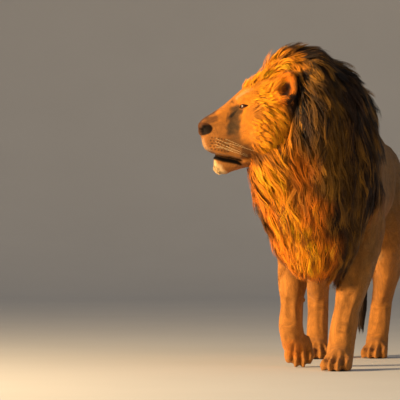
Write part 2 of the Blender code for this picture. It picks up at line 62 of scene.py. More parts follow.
# %% Directions of the head and of the body
EYE_BEHIND, EYE_ABOVE, EYE_RADIUS = 0.178, 0.079, 0.019


def middle(name):
    """The middle of a node's box."""
    return np.mean(np.array(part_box(name)), axis=0)


eyes = {1: middle("eye_left"), -1: middle("eye_right")}
UP = np.array([0.0, 0.0, 1.0])
SIDE = (eyes[1] - eyes[-1]) / np.linalg.norm(eyes[1] - eyes[-1])
AHEAD = np.cross(SIDE, UP)
EYE_SIDE = np.linalg.norm(eyes[1] - eyes[-1]) / 2
NOSE = (eyes[1] + eyes[-1]) / 2 + AHEAD * EYE_BEHIND - UP * EYE_ABOVE
MIDLINE = middle("trunk_front")[0]
HOME = NOSE - np.array([-0.3547, -0.8280, 0.965])   # places on the body are measured with HOME at 0


def to_head(points):
    """Columns (behind, sideways, above) of points given in the lion's frame."""
    away = points - NOSE
    return np.stack([-away @ AHEAD, away @ SIDE, away @ UP], axis=-1)


def from_head(places):
    """The reverse of to_head."""
    places = np.asarray(places, float)
    return NOSE - places[..., :1] * AHEAD + places[..., 1:2] * SIDE + places[..., 2:] * UP


def mirrored(points):
    """Places on the head with the right side laid over the left."""
    place = to_head(points)
    place[:, 1] = np.abs(place[:, 1])
    return place


def off_eye(place):
    """Way and distance of places on the head from the middle of the eye."""
    away = place - [EYE_BEHIND, EYE_SIDE, EYE_ABOVE]
    return away, np.linalg.norm(away, axis=1)


print("nose tip at", NOSE.round(3), "eyes", round(EYE_SIDE * 2, 3), "m apart")

# %% [markdown]
# A few small tools are needed again and again: a soft step from 0 to 1, the distance from points
# to a line, reading and writing a mesh's vertices as one array, and applying modifiers.


# %% Small tools
def soft_step(value, start, end):
    """0 before start, 1 after end, and an S-curve 3t^2 - 2t^3 in between."""
    t = np.clip((value - start) / (end - start), 0, 1)
    return t * t * (3 - 2 * t)


def bell(distance, width):
    """exp(-(distance / width)^2): 1 at no distance, and nearly 0 from two widths on."""
    return np.exp(-(distance / width) ** 2)


def line_distance(points, start, end):
    """How far points are from the line between start and end."""
    start, end = np.asarray(start, float), np.asarray(end, float)
    along = end - start
    share = np.clip((points - start) @ along / max(along @ along, 1e-12), 0, 1)
    return np.linalg.norm(points - start - share[..., None] * along, axis=-1)


def read_points(mesh):
    """All vertices of a mesh as an array of x, y and z."""
    out = np.empty(len(mesh.vertices) * 3)
    mesh.vertices.foreach_get("co", out)
    return out.reshape(-1, 3)


def read_normals(mesh):
    """All vertex normals of a mesh."""
    out = np.empty(len(mesh.vertices) * 3)
    mesh.vertex_normals.foreach_get("vector", out)
    return out.reshape(-1, 3)


def write_points(mesh, points):
    """Moves all vertices of a mesh."""
    mesh.vertices.foreach_set("co", np.ascontiguousarray(points, dtype=np.float32).ravel())
    mesh.update()


def read_edges(mesh):
    """All edges of a mesh as pairs of vertex numbers."""
    out = np.empty(len(mesh.edges) * 2, dtype=np.int64)
    mesh.edges.foreach_get("vertices", out)
    return out.reshape(-1, 2)


def relax(points, edges, amount, rounds):
    """Moves each point towards the mean of its neighbours, by its own amount, several times over.

    Every second round moves it back by a little less, so that the form hardly shrinks.
    """
    count = len(points)
    links = np.bincount(edges.ravel(), minlength=count)[:, None]
    for turn in range(rounds):
        total = np.stack([
            np.bincount(edges[:, 0], points[edges[:, 1], axis], count)
            + np.bincount(edges[:, 1], points[edges[:, 0], axis], count) for axis in range(3)], 1)
        sign = 0.55 if turn % 2 == 0 else -0.52
        points = points + sign * amount[:, None] * (total / links - points)
    return points


def new_object(name, mesh):
    """Puts a mesh into the scene as an object."""
    made = bpy.data.objects.new(name, mesh)
    bpy.context.scene.collection.objects.link(made)
    return made


def apply_modifiers(thing):
    """Replaces the object's mesh by the one that its modifiers make of it."""
    graph = bpy.context.evaluated_depsgraph_get()
    data = bpy.data.meshes.new_from_object(thing.evaluated_get(graph))
    thing.modifiers.clear()
    thing.data = data


OVERLAP = 0.0012      # neighbouring solids are puffed up by this much, so that they meet


def joined_copy(name, parts, change=None):
    """One object from merged copies of CAD nodes, each moved out along its normals by OVERLAP."""
    whole = bmesh.new()
    for part in parts:
        mesh = bmesh.new()
        mesh.from_mesh(nodes[part].data)
        bmesh.ops.remove_doubles(mesh, verts=mesh.verts, dist=1e-5)
        copy = bpy.data.meshes.new(part)
        mesh.to_mesh(copy)
        mesh.free()
        points = read_points(copy) + read_normals(copy) * OVERLAP
        if change:
            points = change(part, points)
        write_points(copy, points)
        whole.from_mesh(copy)
        bpy.data.meshes.remove(copy)
    mesh = bpy.data.meshes.new(name)
    whole.to_mesh(mesh)
    whole.free()
    return new_object(name, mesh)


def voxel_remesh(thing, size):
    """Fuses overlapping closed shapes into one even skin of quads."""
    modifier = thing.modifiers.new("fuse", "REMESH")
    modifier.mode, modifier.voxel_size = "VOXEL", size
    apply_modifiers(thing)


def object_from(name, points, faces):
    """A mesh object from an array of points and a list of faces."""
    mesh = bpy.data.meshes.new(name)
    mesh.from_pydata(np.asarray(points).tolist(), [], list(map(list, faces)))
    mesh.update()
    return new_object(name, mesh)


print("tools ready")

# %% [markdown]
# ## Distances
# Much of the coat depends on how far a place is from a surface, and which way is straight out.
# A level set answers both at once: a grid of voxels, each holding its signed distance to the
# surface (negative inside). Reading it between the voxels gives the distance and the outward
# direction for a whole array of points, which is far quicker than asking a mesh point by point.


# %% Signed distances on a grid
def triangles_of(mesh):
    """The vertex numbers of a mesh's triangles."""
    mesh.calc_loop_triangles()
    corners = np.empty(len(mesh.loop_triangles) * 3, dtype=np.int32)
    mesh.loop_triangles.foreach_get("vertices", corners)
    return corners.reshape(-1, 3)


def level_set(mesh, voxel, band):
    """Grid of signed distances to a closed mesh, out to the band's width on both sides."""
    return openvdb.FloatGrid.createLevelSetFromPolygons(
        read_points(mesh).astype(np.float32), triangles=triangles_of(mesh),
        transform=openvdb.createLinearTransform(voxelSize=voxel), halfWidth=band / voxel)


def distance_field(grid, voxel):
    """A function from points to (signed distance, outward direction).

    It blends the eight voxels round a point, each weighed by the volume of the box opposite it.
    """
    low, high = (np.array(corner) for corner in grid.evalActiveVoxelBoundingBox())
    table = np.empty(tuple(high - low + 1), np.float32)
    grid.copyToArray(table, ijk=tuple(int(v) for v in low))
    slope = np.gradient(table, voxel)
    table = np.stack([table, *slope], axis=-1).astype(np.float32)
    limit = np.array(table.shape[:3]) - 2

    def look(points):
        at = points / voxel - low
        cell = np.clip(np.floor(at).astype(int), 0, limit)
        share = np.clip(at - cell, 0, 1)
        total = np.zeros((len(points), 4))
        for corner in np.ndindex(2, 2, 2):
            weight = np.prod(np.where(corner, share, 1 - share), axis=1)
            x, y, z = (cell + corner).T
            total += weight[:, None] * table[x, y, z]
        outward = total[:, 1:]
        return total[:, 0], outward / np.maximum(np.linalg.norm(outward, axis=1), 1e-9)[:, None]

    return look


# %% [markdown]
# ## The skin
# On the animal one skin runs over head, neck, trunk, legs and tail, so here a voxel remesh melts
# copies of all the flesh nodes into one surface without seams. Under the mane the skin is
# thickened by the dense wool at the roots of the long hair: it is the shell of flesh and mane
# together, shrunk by the depth that only the loose locks fill. The gap of the mouth is closed
# first, because lips are carved better from a closed muzzle.

# %% Melt flesh and mane into one outer shell
FLESH = sorted(name for name in nodes if not name.startswith(("mane", "eye", "tail_tuft")))
EYES = ["eye_left", "eye_right"]
LIP_LINE = [  # behind and above the nose tip
    (0.000, -0.0955), (0.034, -0.0965), (0.061, -0.1095), (0.092, -0.1190), (0.122, -0.1240),
    (0.170, -0.1345)]
SHELL_VOXEL = 0.007
WOOL_DEPTH = 0.034      # the wool's surface lies this far inside the tips of the mane

shell = joined_copy("shell", sorted(nodes))
voxel_remesh(shell, SHELL_VOXEL)
points, edges = read_points(shell.data), read_edges(shell.data)
write_points(shell.data, relax(points, edges, amount=np.ones(len(points)), rounds=8))
shell_grid = level_set(shell.data, SHELL_VOXEL, 0.07)
off_shell = distance_field(shell_grid, SHELL_VOXEL)
wool_points, wool_faces = shell_grid.convertToQuads(-WOOL_DEPTH)
wool = object_from("wool", wool_points, wool_faces[:, ::-1])
print("shell:", len(points), "points; wool:", len(wool_points), "points")


# %% Melt flesh and wool into one skin
def lip_height(behind):
    """Height of the line between the lips, above the nose tip (so negative)."""
    x, z = np.array(LIP_LINE).T
    return np.interp(behind, x, z)


def close_mouth(part, points):
    """Lifts the top of the lower jaw into the upper one."""
    if part == "lower_jaw":
        place = to_head(points)
        near = place[:, 2] > lip_height(place[:, 0]) - 0.013
        points[near, 2] += 0.009
    return points


def face_share(points):
    """1 on the face and the ears, 0 from the neck on."""
    place = to_head(points)
    return (1 - soft_step(place[:, 0], 0.37, 0.43)) * soft_step(place[:, 2], -0.24, -0.19)


PAWS = [  # middle of the pad, measured from HOME; heading and pitch in degrees; size
    ((0.1873, -0.6974, -0.004), -6, 0, 1.08), ((-0.0077, -0.3774, 0.072), 14, 60, 1.02),
    ((0.2393, 0.4786, -0.004), -4, 0, 1.0), ((-0.0037, 0.3916, -0.004), 6, 0, 1.0)]
TOES = [(-0.044, -0.046), (-0.0155, -0.068), (0.0155, -0.070), (0.044, -0.049)]   # sideways, ahead
TOE_HALVES, TOE_HEIGHT, TOE_SLOPE = (0.0160, 0.034, 0.0250), 0.0275, math.radians(8)
SKIN_SQUARE = 0.0058


def paw_matrix(paw):
    """From a paw's own frame, toes towards -Y and the pad's middle at 0, to the lion's."""
    heel, heading, pitch, size = paw
    heading, pitch = math.radians(heading), math.radians(pitch)
    turn = Matrix.Rotation(heading, 4, "Z") @ Matrix.Rotation(pitch, 4, "X")
    return Matrix.Translation(HOME + heel) @ turn @ Matrix.Scale(size, 4)


skin = joined_copy("lion_skin", FLESH + EYES, close_mouth)
with_wool = bmesh.new()
with_wool.from_mesh(skin.data)
with_wool.from_mesh(wool.data)
for paw in PAWS:
    for sideways, ahead in TOES:
        toe = paw_matrix(paw) @ Matrix.Translation((sideways, ahead + 0.004, TOE_HEIGHT))
        toe = toe @ Matrix.Rotation(TOE_SLOPE, 4, "X") @ Matrix.Diagonal((*TOE_HALVES, 1))
        bmesh.ops.create_icosphere(with_wool, subdivisions=3, radius=1.0, matrix=toe)
with_wool.to_mesh(skin.data)
with_wool.free()
bpy.data.objects.remove(wool)
bpy.data.objects.remove(shell)
voxel_remesh(skin, SKIN_SQUARE)
points, edges = read_points(skin.data), read_edges(skin.data)
face = face_share(points)
paws = 1 - soft_step(points[:, 2], 0.07, 0.14)
points = relax(points, edges, amount=1.0 - 0.4 * face - 0.7 * paws, rounds=50)
write_points(skin.data, points)
print("skin of even squares:", len(points), "points")

# %% [markdown]
# ## Muscles, ribs and toes
# The solids stop at the broad masses of the body. What moves over them is added the same way on
# every leg: at each height the leg has a middle, and a point's turn round that middle (0 in front,
# half a turn at the back) says which muscle or tendon it lies on. The trunk gets the shoulder
# blade, ribs, the hollow of the flank and the hip, and each paw the clefts between its toes.


# %% Forms of the body
LEGS = ("foreleg_left", "foreleg_right", "hindleg_left", "hindleg_right")


def leg_turn(points, leg):
    """Turn round a leg's middle, front 0 and outside +, and True where points belong to it.

    The middle is that of the leg's box in slabs 9 cm thick, blended between their levels.
    """
    solid = np.concatenate([read_points(nodes[name].data) for name in nodes if leg in name
                            or leg.replace("leg", "paw") in name])
    levels = np.linspace(0.02, solid[:, 2].max() - 0.03, 14)
    slabs = [solid[np.abs(solid[:, 2] - level) < 0.045] for level in levels]
    low = np.array([slab.min(axis=0)[:2] for slab in slabs])
    high = np.array([slab.max(axis=0)[:2] for slab in slabs])
    middles, halves = (low + high) / 2, (high - low) / 2
    at = np.stack([np.interp(points[:, 2], levels, middles[:, i]) for i in (0, 1)], axis=1)
    room = np.stack([np.interp(points[:, 2], levels, halves[:, i]) for i in (0, 1)], axis=1)
    away = points[:, :2] - at
    inside = np.max(np.abs(away) / (room + 0.012), axis=1)
    hand = 1 if "left" in leg else -1
    return np.arctan2(away[:, 0] * hand, -away[:, 1]), (inside < 1) & (points[:, 2] < levels[-1])


def toe_clefts(points):
    """1 in the clefts between the toes, which draw together towards the back of the paw."""
    share = np.zeros(len(points))
    for paw in PAWS:
        back_turn = np.array(paw_matrix(paw).inverted())
        own = points @ back_turn[:3, :3].T + back_turn[:3, 3]
        near = ((np.abs(own[:, 0]) < 0.075) & (own[:, 1] > -0.13) & (own[:, 1] < 0.04)
                & (np.abs(own[:, 2]) < 0.10))
        spread = 1 - 1.5 * (own[:, 1] + 0.07)
        off = np.min([np.abs(own[:, 0] - side * spread) for side in (-0.030, 0.0, 0.030)], axis=0)
        share = np.maximum(share, bell(off, 0.0055) * soft_step(-own[:, 1], 0.012, 0.045) * near)
    return share


LEG_FORMS = {  # turn, its reach, height above the floor, its reach, swelling; both sides if even
    "foreleg": [(0.65, 0.45, 0.40, 0.10, 0.0080, True), (0.0, 0.20, 0.36, 0.12, -0.0060, False),
                (0.0, 0.60, 0.185, 0.035, 0.0040, False), (1.45, 0.45, 0.26, 0.050, -0.0070, True),
                (3.14, 0.50, 0.175, 0.022, 0.0070, True), (1.1, 0.50, 0.55, 0.070, 0.0060, False),
                (0.35, 0.16, 0.25, 0.060, 0.0025, True)],
    "hindleg": [(2.45, 0.35, 0.34, 0.080, -0.0100, True), (3.14, 0.35, 0.265, 0.030, 0.0050, True),
                (0.0, 0.45, 0.24, 0.030, 0.0030, False), (1.3, 0.50, 0.60, 0.090, 0.0060, False),
                (2.0, 0.25, 0.50, 0.090, -0.0080, False), (0.45, 0.30, 0.44, 0.060, 0.0050, True),
                (0.0, 0.18, 0.15, 0.060, 0.0025, False)],
}
TRUNK_FORMS = [  # line measured sideways from the trunk's middle, reach, swelling
    ((0.13, -0.20, 0.98), (0.17, -0.28, 0.80), 0.045, 0.0110),   # shoulder blade
    ((0.17, -0.15, 0.92), (0.16, -0.19, 0.60), 0.032, -0.0150),  # behind the shoulder
    ((0.17, 0.31, 0.78), (0.15, 0.34, 0.64), 0.060, -0.0200),    # hollow of the flank
    ((0.11, 0.40, 0.93), (0.12, 0.44, 0.90), 0.035, 0.0110),     # hip
    ((0.16, 0.40, 0.62), (0.14, 0.22, 0.53), 0.030, 0.0080),     # fold from knee to belly
    ((0.16, 0.53, 0.84), (0.17, 0.54, 0.60), 0.024, -0.0110),    # cleft of the thigh
    ((0.11, 0.70, 0.58), (0.13, 0.60, 0.47), 0.065, -0.0330),    # thigh tapers to the hock
    ((0.08, 0.51, 0.38), (0.17, 0.51, 0.38), 0.048, 0.0180),     # and flows into the calf
    ((0.07, 0.71, 0.72), (0.08, 0.70, 0.64), 0.040, 0.0150),     # under the root of the tail
    ((0.00, 0.75, 0.80), (0.05, 0.74, 0.79), 0.030, -0.0100),    # end of the rump
    ((0.00, -0.10, 1.04), (0.00, 0.55, 0.98), 0.022, 0.0050),    # spine
]

RIB_DEPTH, RIB_PITCH, CLEFT_DEPTH = 0.0036, 0.052, 0.0060

height = np.zeros(len(points))
for leg in LEGS:
    turn, belongs = leg_turn(points, leg)
    for middle_turn, turn_reach, level, level_reach, amount, even in LEG_FORMS[leg[:7]]:
        side_turn = np.abs(turn) if even else turn
        height += amount * bell(side_turn - middle_turn, turn_reach) * bell(
            points[:, 2] - level, level_reach) * belongs
trunk_place = points - [MIDLINE, 0, 0]
trunk_place[:, 0] = np.abs(trunk_place[:, 0])
for start, end, reach, amount in TRUNK_FORMS:
    height += amount * bell(line_distance(trunk_place, start, end), reach)
chest_side = bell(points[:, 1] - 0.06, 0.16) * bell(points[:, 2] - 0.76, 0.13)
rib_field = chest_side * (trunk_place[:, 0] > 0.09)
rib_turn = (points[:, 1] - 0.35 * points[:, 2]) * 2 * math.pi / RIB_PITCH
height += RIB_DEPTH * rib_field * np.sin(rib_turn)
height -= CLEFT_DEPTH * toe_clefts(points)
points = points + read_normals(skin.data) * (height * (1 - face_share(points)))[:, None]
write_points(skin.data, points)
print("forms from", round(height.min() * 1000, 1), "to", round(height.max() * 1000, 1), "mm")

# %% Fewer faces where nothing is fine
FACES_KEPT = 0.29

face = face_share(points)
group = skin.vertex_groups.new(name="thin")
for level in range(11):
    members = np.flatnonzero(np.round((1 - face) * 10) == level)
    group.add(members.tolist(), level / 10, "REPLACE")
thin = skin.modifiers.new("thin", "DECIMATE")
thin.vertex_group, thin.ratio = "thin", FACES_KEPT
apply_modifiers(skin)
skin.vertex_groups.clear()
print("skin:", len(skin.data.vertices), "points,", len(skin.data.polygons), "faces")


# %% Finer faces where the head needs them
def refine(thing, wanted):
    """Cuts each edge in two where both of its ends are wanted."""
    mesh = bmesh.new()
    mesh.from_mesh(thing.data)
    mesh.verts.ensure_lookup_table()
    keep = wanted(read_points(thing.data))
    cut = [edge for edge in mesh.edges if keep[edge.verts[0].index] and keep[edge.verts[1].index]]
    bmesh.ops.subdivide_edges(mesh, edges=cut, cuts=1, use_grid_fill=True)
    mesh.to_mesh(thing.data)
    mesh.free()


def near_features(points):
    """True round the eyes, nostrils and lips."""
    place = mirrored(points)
    eye = off_eye(place)[1] < 0.036
    nostril = np.linalg.norm(place - [0.008, 0.016, -0.010], axis=1) < 0.026
    lip = (np.abs(place[:, 2] - lip_height(place[:, 0])) < 0.014) & (place[:, 0] < 0.165)
    return (eye | nostril | lip) & (place[:, 0] < 0.3)


refine(skin, lambda points: (face_share(points) > 0.5) & (off_shell(points)[0] > -0.022))
refine(skin, near_features)
points, edges = read_points(skin.data), read_edges(skin.data)
points = relax(points, edges, amount=0.8 * face_share(points), rounds=12)
write_points(skin.data, points)
print("skin with a fine face:", len(points), "points,", len(skin.data.polygons), "faces")

# %% [markdown]
# ## The face
# The solids give the skull's outline; folds, lids and lips belong to the skin. They are sculpted
# by adding soft bumps and grooves to the distance each point moves along its normal. A bump is a
# bell round a place, a groove a bell round a line. All of it is written for one side and mirrored,
# as a face is even.


# %% Bumps and grooves of the face
BUMPS = [  # place (behind, sideways, above), reach, height
    ((0.158, 0.040, 0.105), 0.016, 0.0055),   # inner brow
    ((0.176, 0.052, 0.108), 0.016, 0.0075),   # brow over the eye
    ((0.200, 0.066, 0.104), 0.016, 0.0045),   # outer brow
    ((0.140, 0.060, 0.036), 0.024, -0.0060),  # hollow under the eye
    ((0.205, 0.088, 0.040), 0.030, 0.0060),   # cheekbone
    ((0.034, 0.034, -0.062), 0.026, 0.0060),  # whisker pad
    ((0.075, 0.047, -0.075), 0.026, 0.0055),  # whisker pad, rear
    ((0.118, 0.056, -0.070), 0.018, -0.0035), # behind the pad
    ((0.012, 0.027, -0.012), 0.009, 0.0030),  # wing of the nose
    ((0.335, 0.126, 0.143), 0.021, -0.0130),  # hollow of the ear
    ((0.050, 0.000, -0.160), 0.022, 0.0040),  # chin
    ((0.090, 0.035, 0.000), 0.020, -0.0020),  # hollow beside the bridge
    ((0.190, 0.080, -0.125), 0.020, -0.0030), # pit behind the mouth corner
]
NOSTRIL = [(0.002, 0.015, -0.014), (0.012, 0.025, -0.014), (0.026, 0.031, -0.004),
           (0.036, 0.033, -0.003)]
GROOVES = [  # start, end, half width, depth
    (NOSTRIL[0], NOSTRIL[1], 0.0085, 0.0150),
    (NOSTRIL[1], NOSTRIL[2], 0.0062, 0.0095),
    (NOSTRIL[2], NOSTRIL[3], 0.0045, 0.0060),
    ((0.000, 0.000, -0.030), (0.012, 0.000, -0.097), 0.0030, 0.0045),   # split of the upper lip
    ((0.026, 0.010, 0.032), (0.050, 0.034, 0.002), 0.0035, 0.0016),     # edge of the leather
    ((0.158, 0.047, 0.066), (0.118, 0.042, 0.036), 0.0050, 0.0030),     # tear line
    ((0.140, 0.000, 0.100), (0.260, 0.000, 0.215), 0.0080, 0.0022),     # middle of the brow
    ((0.165, 0.074, -0.130), (0.182, 0.078, -0.150), 0.0060, 0.0030),   # fold of the mouth corner
    ((0.128, 0.036, 0.112), (0.165, 0.030, 0.150), 0.0060, 0.0015),     # frown
]


def lip_share(place):
    """1 along the line between the lips, fading at the mouth's corner."""
    return soft_step(-place[:, 0], -0.178, -0.160) * (place[:, 1] < 0.12)


place = mirrored(points)
height = np.zeros(len(points))
for where, reach, amount in BUMPS:
    height += amount * bell(np.linalg.norm(place - where, axis=1), reach)
for start, end, reach, depth in GROOVES:
    height -= depth * bell(line_distance(place, start, end), reach)
over_lip = place[:, 2] - lip_height(place[:, 0])
gape = 0.0035 + 0.0030 * soft_step(place[:, 0], 0.045, 0.10)
height -= 0.0075 * bell(over_lip + 0.002, gape) * lip_share(place)
height += 0.0025 * bell(over_lip - 0.011, 0.006) * lip_share(place)
height += 0.0030 * bell(over_lip + 0.015, 0.006) * lip_share(place) * soft_step(place[:, 0], 0.04, 0.08)
points = points + read_normals(skin.data) * (height * face_share(points))[:, None]
write_points(skin.data, points)
print("deepest groove", round(-height.min() * 1000, 1), "mm")

# %% [markdown]
# The lids are an almond opening on a sphere a little larger than the eyeball. Inside the almond
# the skin drops behind the eyeball, at its edge it stands up as the lid's rim, and further out it
# runs into the face.

# %% Lids
GAZE = np.array([-0.72, 0.68, 0.10])
GAZE = GAZE / np.linalg.norm(GAZE)
LID_TILT = math.radians(14)
LID_HALF = (math.radians(54), math.radians(24))     # half the slit along and across
UPPER_LID, LOWER_LID = 0.55, 0.90                   # share of the half across that each leaves open


def almond(direction):
    """How far out of the lids' opening a direction from the eye's middle points: 1 on the rim.

    The two angles from the gaze, along and across the slit, are summed as a pinched ellipse.
    """
    back = np.cross(np.array([0, 0, 1.0]), GAZE)
    back = -back / np.linalg.norm(back)
    rise = np.cross(back, GAZE)
    rise = rise * np.sign(rise[2])
    along = np.arctan2(direction @ back, direction @ GAZE)
    across = np.arctan2(direction @ rise, direction @ GAZE)
    turned = along * math.cos(LID_TILT) + across * math.sin(LID_TILT)
    across = across * math.cos(LID_TILT) - along * math.sin(LID_TILT)
    half = np.where(across > 0, LID_HALF[1] * UPPER_LID, LID_HALF[1] * LOWER_LID)
    return (np.abs(turned / LID_HALF[0]) ** 1.5 + np.abs(across / half) ** 1.5) ** (1 / 1.5)


place = mirrored(points)
away, far = off_eye(place)
ring = almond(away / far[:, None])
near_eye = (far < 0.045) & (away @ GAZE > -0.004)
rim = EYE_RADIUS + 0.0026 + 0.0012 * (away[:, 2] > 0)
behind_ball = EYE_RADIUS * 0.80
lid = behind_ball + (rim - behind_ball) * soft_step(ring, 0.90, 1.06)
lid -= 0.0016 * bell(ring - 1.45, 0.14)
blend = soft_step(ring, 1.25, 2.3)
wanted = lid * (1 - blend) + far * blend
moved = place + away / far[:, None] * (wanted - far)[:, None]
place = np.where(near_eye[:, None], moved, place)
place[:, 1] *= np.sign(to_head(points)[:, 1])
points = from_head(place)
write_points(skin.data, points)
print("slit between the lids", round(2000 * EYE_RADIUS * math.sin(LID_HALF[0])), "mm long")

# %% [markdown]
# ## The lie of the coat
# Hair on an animal lies in one sweep: back from the nose, up over the brow, down the neck, back
# along the flanks and down the legs. A comb does the same here. Each stroke is a line with a
# direction; at any place the strokes nearby are blended, the nearest most. Strokes on the head
# are given in the head's directions and mirrored, strokes of the body in the lion's frame.


# %% Strokes of the comb
HEAD_STROKES = [  # from, to (behind, sideways, above), reach
    ((0.030, 0.012, 0.030), (0.140, 0.020, 0.095), 0.030),  # bridge of the nose
    ((0.140, 0.025, 0.110), (0.230, 0.030, 0.185), 0.035),  # forehead
    ((0.230, 0.030, 0.200), (0.340, 0.030, 0.300), 0.060),  # crown
    ((0.030, 0.035, -0.030), (0.110, 0.055, -0.020), 0.030),
    ((0.110, 0.055, 0.020), (0.170, 0.070, 0.030), 0.030),
    ((0.020, 0.030, -0.080), (0.110, 0.055, -0.105), 0.025),  # upper lip
    ((0.030, 0.000, -0.140), (0.050, 0.000, -0.190), 0.025),  # chin
    ((0.060, 0.030, -0.160), (0.160, 0.060, -0.180), 0.030),  # lower jaw
    ((0.160, 0.000, -0.180), (0.240, 0.000, -0.260), 0.050),
    ((0.180, 0.075, 0.060), (0.260, 0.105, 0.080), 0.030),  # temple
    ((0.160, 0.075, -0.010), (0.250, 0.120, -0.040), 0.040),  # cheek
    ((0.200, 0.090, -0.080), (0.280, 0.125, -0.180), 0.040),
    ((0.260, 0.120, 0.060), (0.340, 0.160, -0.010), 0.050),  # ruff
    ((0.300, 0.130, -0.040), (0.360, 0.160, -0.200), 0.060),
    ((0.275, 0.105, 0.100), (0.325, 0.130, 0.122), 0.020),  # hair over the ear's base
    ((0.290, 0.105, 0.150), (0.318, 0.125, 0.195), 0.020),  # front rim of the ear
    ((0.350, 0.125, 0.195), (0.368, 0.125, 0.140), 0.015),  # rear rim of the ear
    ((0.370, 0.080, 0.220), (0.460, 0.130, 0.120), 0.060),
]
BODY_STROKES = [  # from, to in the lion's frame, reach
    ((0.04, -0.86, 1.05), (0.10, -0.86, 0.85), 0.06), ((0.10, -0.86, 0.90), (0.12, -0.82, 0.62), 0.07),
    ((0.15, -0.82, 1.10), (0.20, -0.80, 0.85), 0.06), ((0.20, -0.80, 0.85), (0.19, -0.75, 0.58), 0.07),
    ((0.27, -0.60, 1.12), (0.32, -0.55, 0.90), 0.07), ((0.32, -0.50, 0.90), (0.30, -0.52, 0.62), 0.07),
    ((0.00, -0.76, 1.28), (0.15, -0.66, 1.24), 0.06), ((0.15, -0.62, 1.24), (0.28, -0.50, 1.08), 0.06),
    ((0.15, -0.50, 1.17), (0.17, -0.30, 1.02), 0.07), ((0.24, -0.40, 1.05), (0.31, -0.36, 0.84), 0.07),
    ((-0.10, -0.86, 0.76), (0.00, -0.85, 0.55), 0.06), ((0.05, -0.84, 0.70), (0.05, -0.76, 0.42), 0.07),
    ((0.17, -0.76, 0.62), (0.14, -0.66, 0.40), 0.06), ((-0.12, -0.76, 0.70), (-0.04, -0.70, 0.44), 0.06),
    ((-0.05, -0.62, 1.12), (-0.08, -0.58, 0.90), 0.06), ((-0.09, -0.60, 0.90), (-0.07, -0.58, 0.62), 0.07),
    ((-0.16, -0.82, 0.82), (-0.12, -0.77, 0.62), 0.05), ((0.04, -0.45, 1.14), (-0.03, -0.37, 0.95), 0.06),
    ((-0.03, -0.42, 1.00), (-0.08, -0.40, 0.78), 0.07), ((0.06, -0.62, 0.50), (0.08, -0.55, 0.40), 0.06),
]
TRUNK_STROKES = [  # the same, measured sideways from the middle of the trunk, for both sides
    ((0.00, -0.28, 1.06), (0.00, 0.66, 0.92), 0.12), ((0.16, -0.22, 0.92), (0.17, 0.45, 0.80), 0.12),
    ((0.16, -0.20, 0.68), (0.14, 0.30, 0.60), 0.10), ((0.00, -0.20, 0.49), (0.00, 0.40, 0.51), 0.09),
    ((0.07, 0.56, 0.92), (0.09, 0.72, 0.76), 0.08), ((0.15, 0.40, 0.84), (0.14, 0.56, 0.56), 0.09),
    ((0.17, -0.36, 0.86), (0.15, -0.46, 0.56), 0.09), ((0.00, 0.74, 0.82), (0.00, 0.66, 0.58), 0.07),
]


def leg_strokes():
    """Strokes down each leg and over its paw, from the middles of the solids."""
    out = []
    for leg in LEGS:
        paw = leg.replace("foreleg", "forepaw").replace("hindleg", "hindpaw")
        upper, lower, foot = middle(leg + "_upper"), middle(leg + "_lower"), middle(paw)
        out += [(upper, lower, 0.07), (lower, foot + [0, 0, 0.03], 0.06),
                (foot + [0, 0.03, 0.05], foot + [0, -0.06, 0.0], 0.04)]
    tip, root = np.array(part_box("tail_tuft")), np.array(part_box("tail"))
    bend = [middle("tail")[0], root[1][1] - 0.02, 0.75]
    out += [([MIDLINE, root[0][1], root[1][2] - 0.02], bend, 0.04),
            (bend, [np.mean(tip[:, 0]), np.mean(tip[:, 1]), tip[0][2]], 0.05)]
    return out


def gather_strokes():
    """All strokes in the lion's frame as starts, directions, lengths and reaches."""
    out = []
    for start, end, reach in HEAD_STROKES:
        for hand in (1, -1):
            turn = np.array([1, hand, 1])
            out.append((from_head(start * turn), from_head(end * turn), reach))
    for start, end, reach in TRUNK_STROKES:
        for hand in (1, -1):
            move = np.array([hand, 1, 1])
            centre = np.array([MIDLINE, 0, 0])
            out.append((start * move + centre, end * move + centre, reach))
    out += [(start + HOME, end + HOME, reach) for start, end, reach in BODY_STROKES] + leg_strokes()
    starts, ends = (np.array([np.asarray(stroke[i], float) for stroke in out]) for i in (0, 1))
    return starts, ends - starts, np.array([stroke[2] for stroke in out])


starts, ways, reaches = gather_strokes()
print("strokes of the comb:", len(starts))


# %% The comb
def comb(points):
    """The direction in which hair lies at each point.

    Each stroke counts by 1 / (1/40 + (distance / reach)^4), and the sum is made one unit long.
    """
    total = np.zeros((len(points), 3))
    lengths = np.linalg.norm(ways, axis=1)
    for start, way, length, reach in zip(starts, ways, lengths, reaches):
        far = line_distance(points, start, start + way)
        total += (1 / (0.025 + (far / reach) ** 4))[:, None] * (way / length)
    return total / np.linalg.norm(total, axis=1)[:, None]


def flattened(direction, outward):
    """The part of a direction that lies along the surface, one unit long."""
    flat = direction - np.sum(direction * outward, axis=1)[:, None] * outward
    return flat / np.maximum(np.linalg.norm(flat, axis=1), 1e-6)[:, None]


# %% [markdown]
# The skin lies under the ends of the hair by the depth of the coat: a few millimetres on the body,
# hardly anything on the face, nothing on nose and lids. Under mane and tassel, where the skin lies
# far inside the shell, it stays as it is.

# %% Sink the skin by the coat's depth
def leather_share(place):
    """1 on the nose leather: its front, and back along the sides round the nostrils."""
    front = (1 - soft_step(place[:, 0], 0.016, 0.024)) * soft_step(-place[:, 2], -0.016, -0.008)
    front *= soft_step(place[:, 2], -0.038, -0.030)
    off_nostril = np.hypot((place[:, 0] - 0.012) / 0.040, (place[:, 2] + 0.008) / 0.027)
    wing = 1 - soft_step(off_nostril, 0.85, 1.0)
    return np.maximum(front, wing) * (place[:, 1] < 0.06)


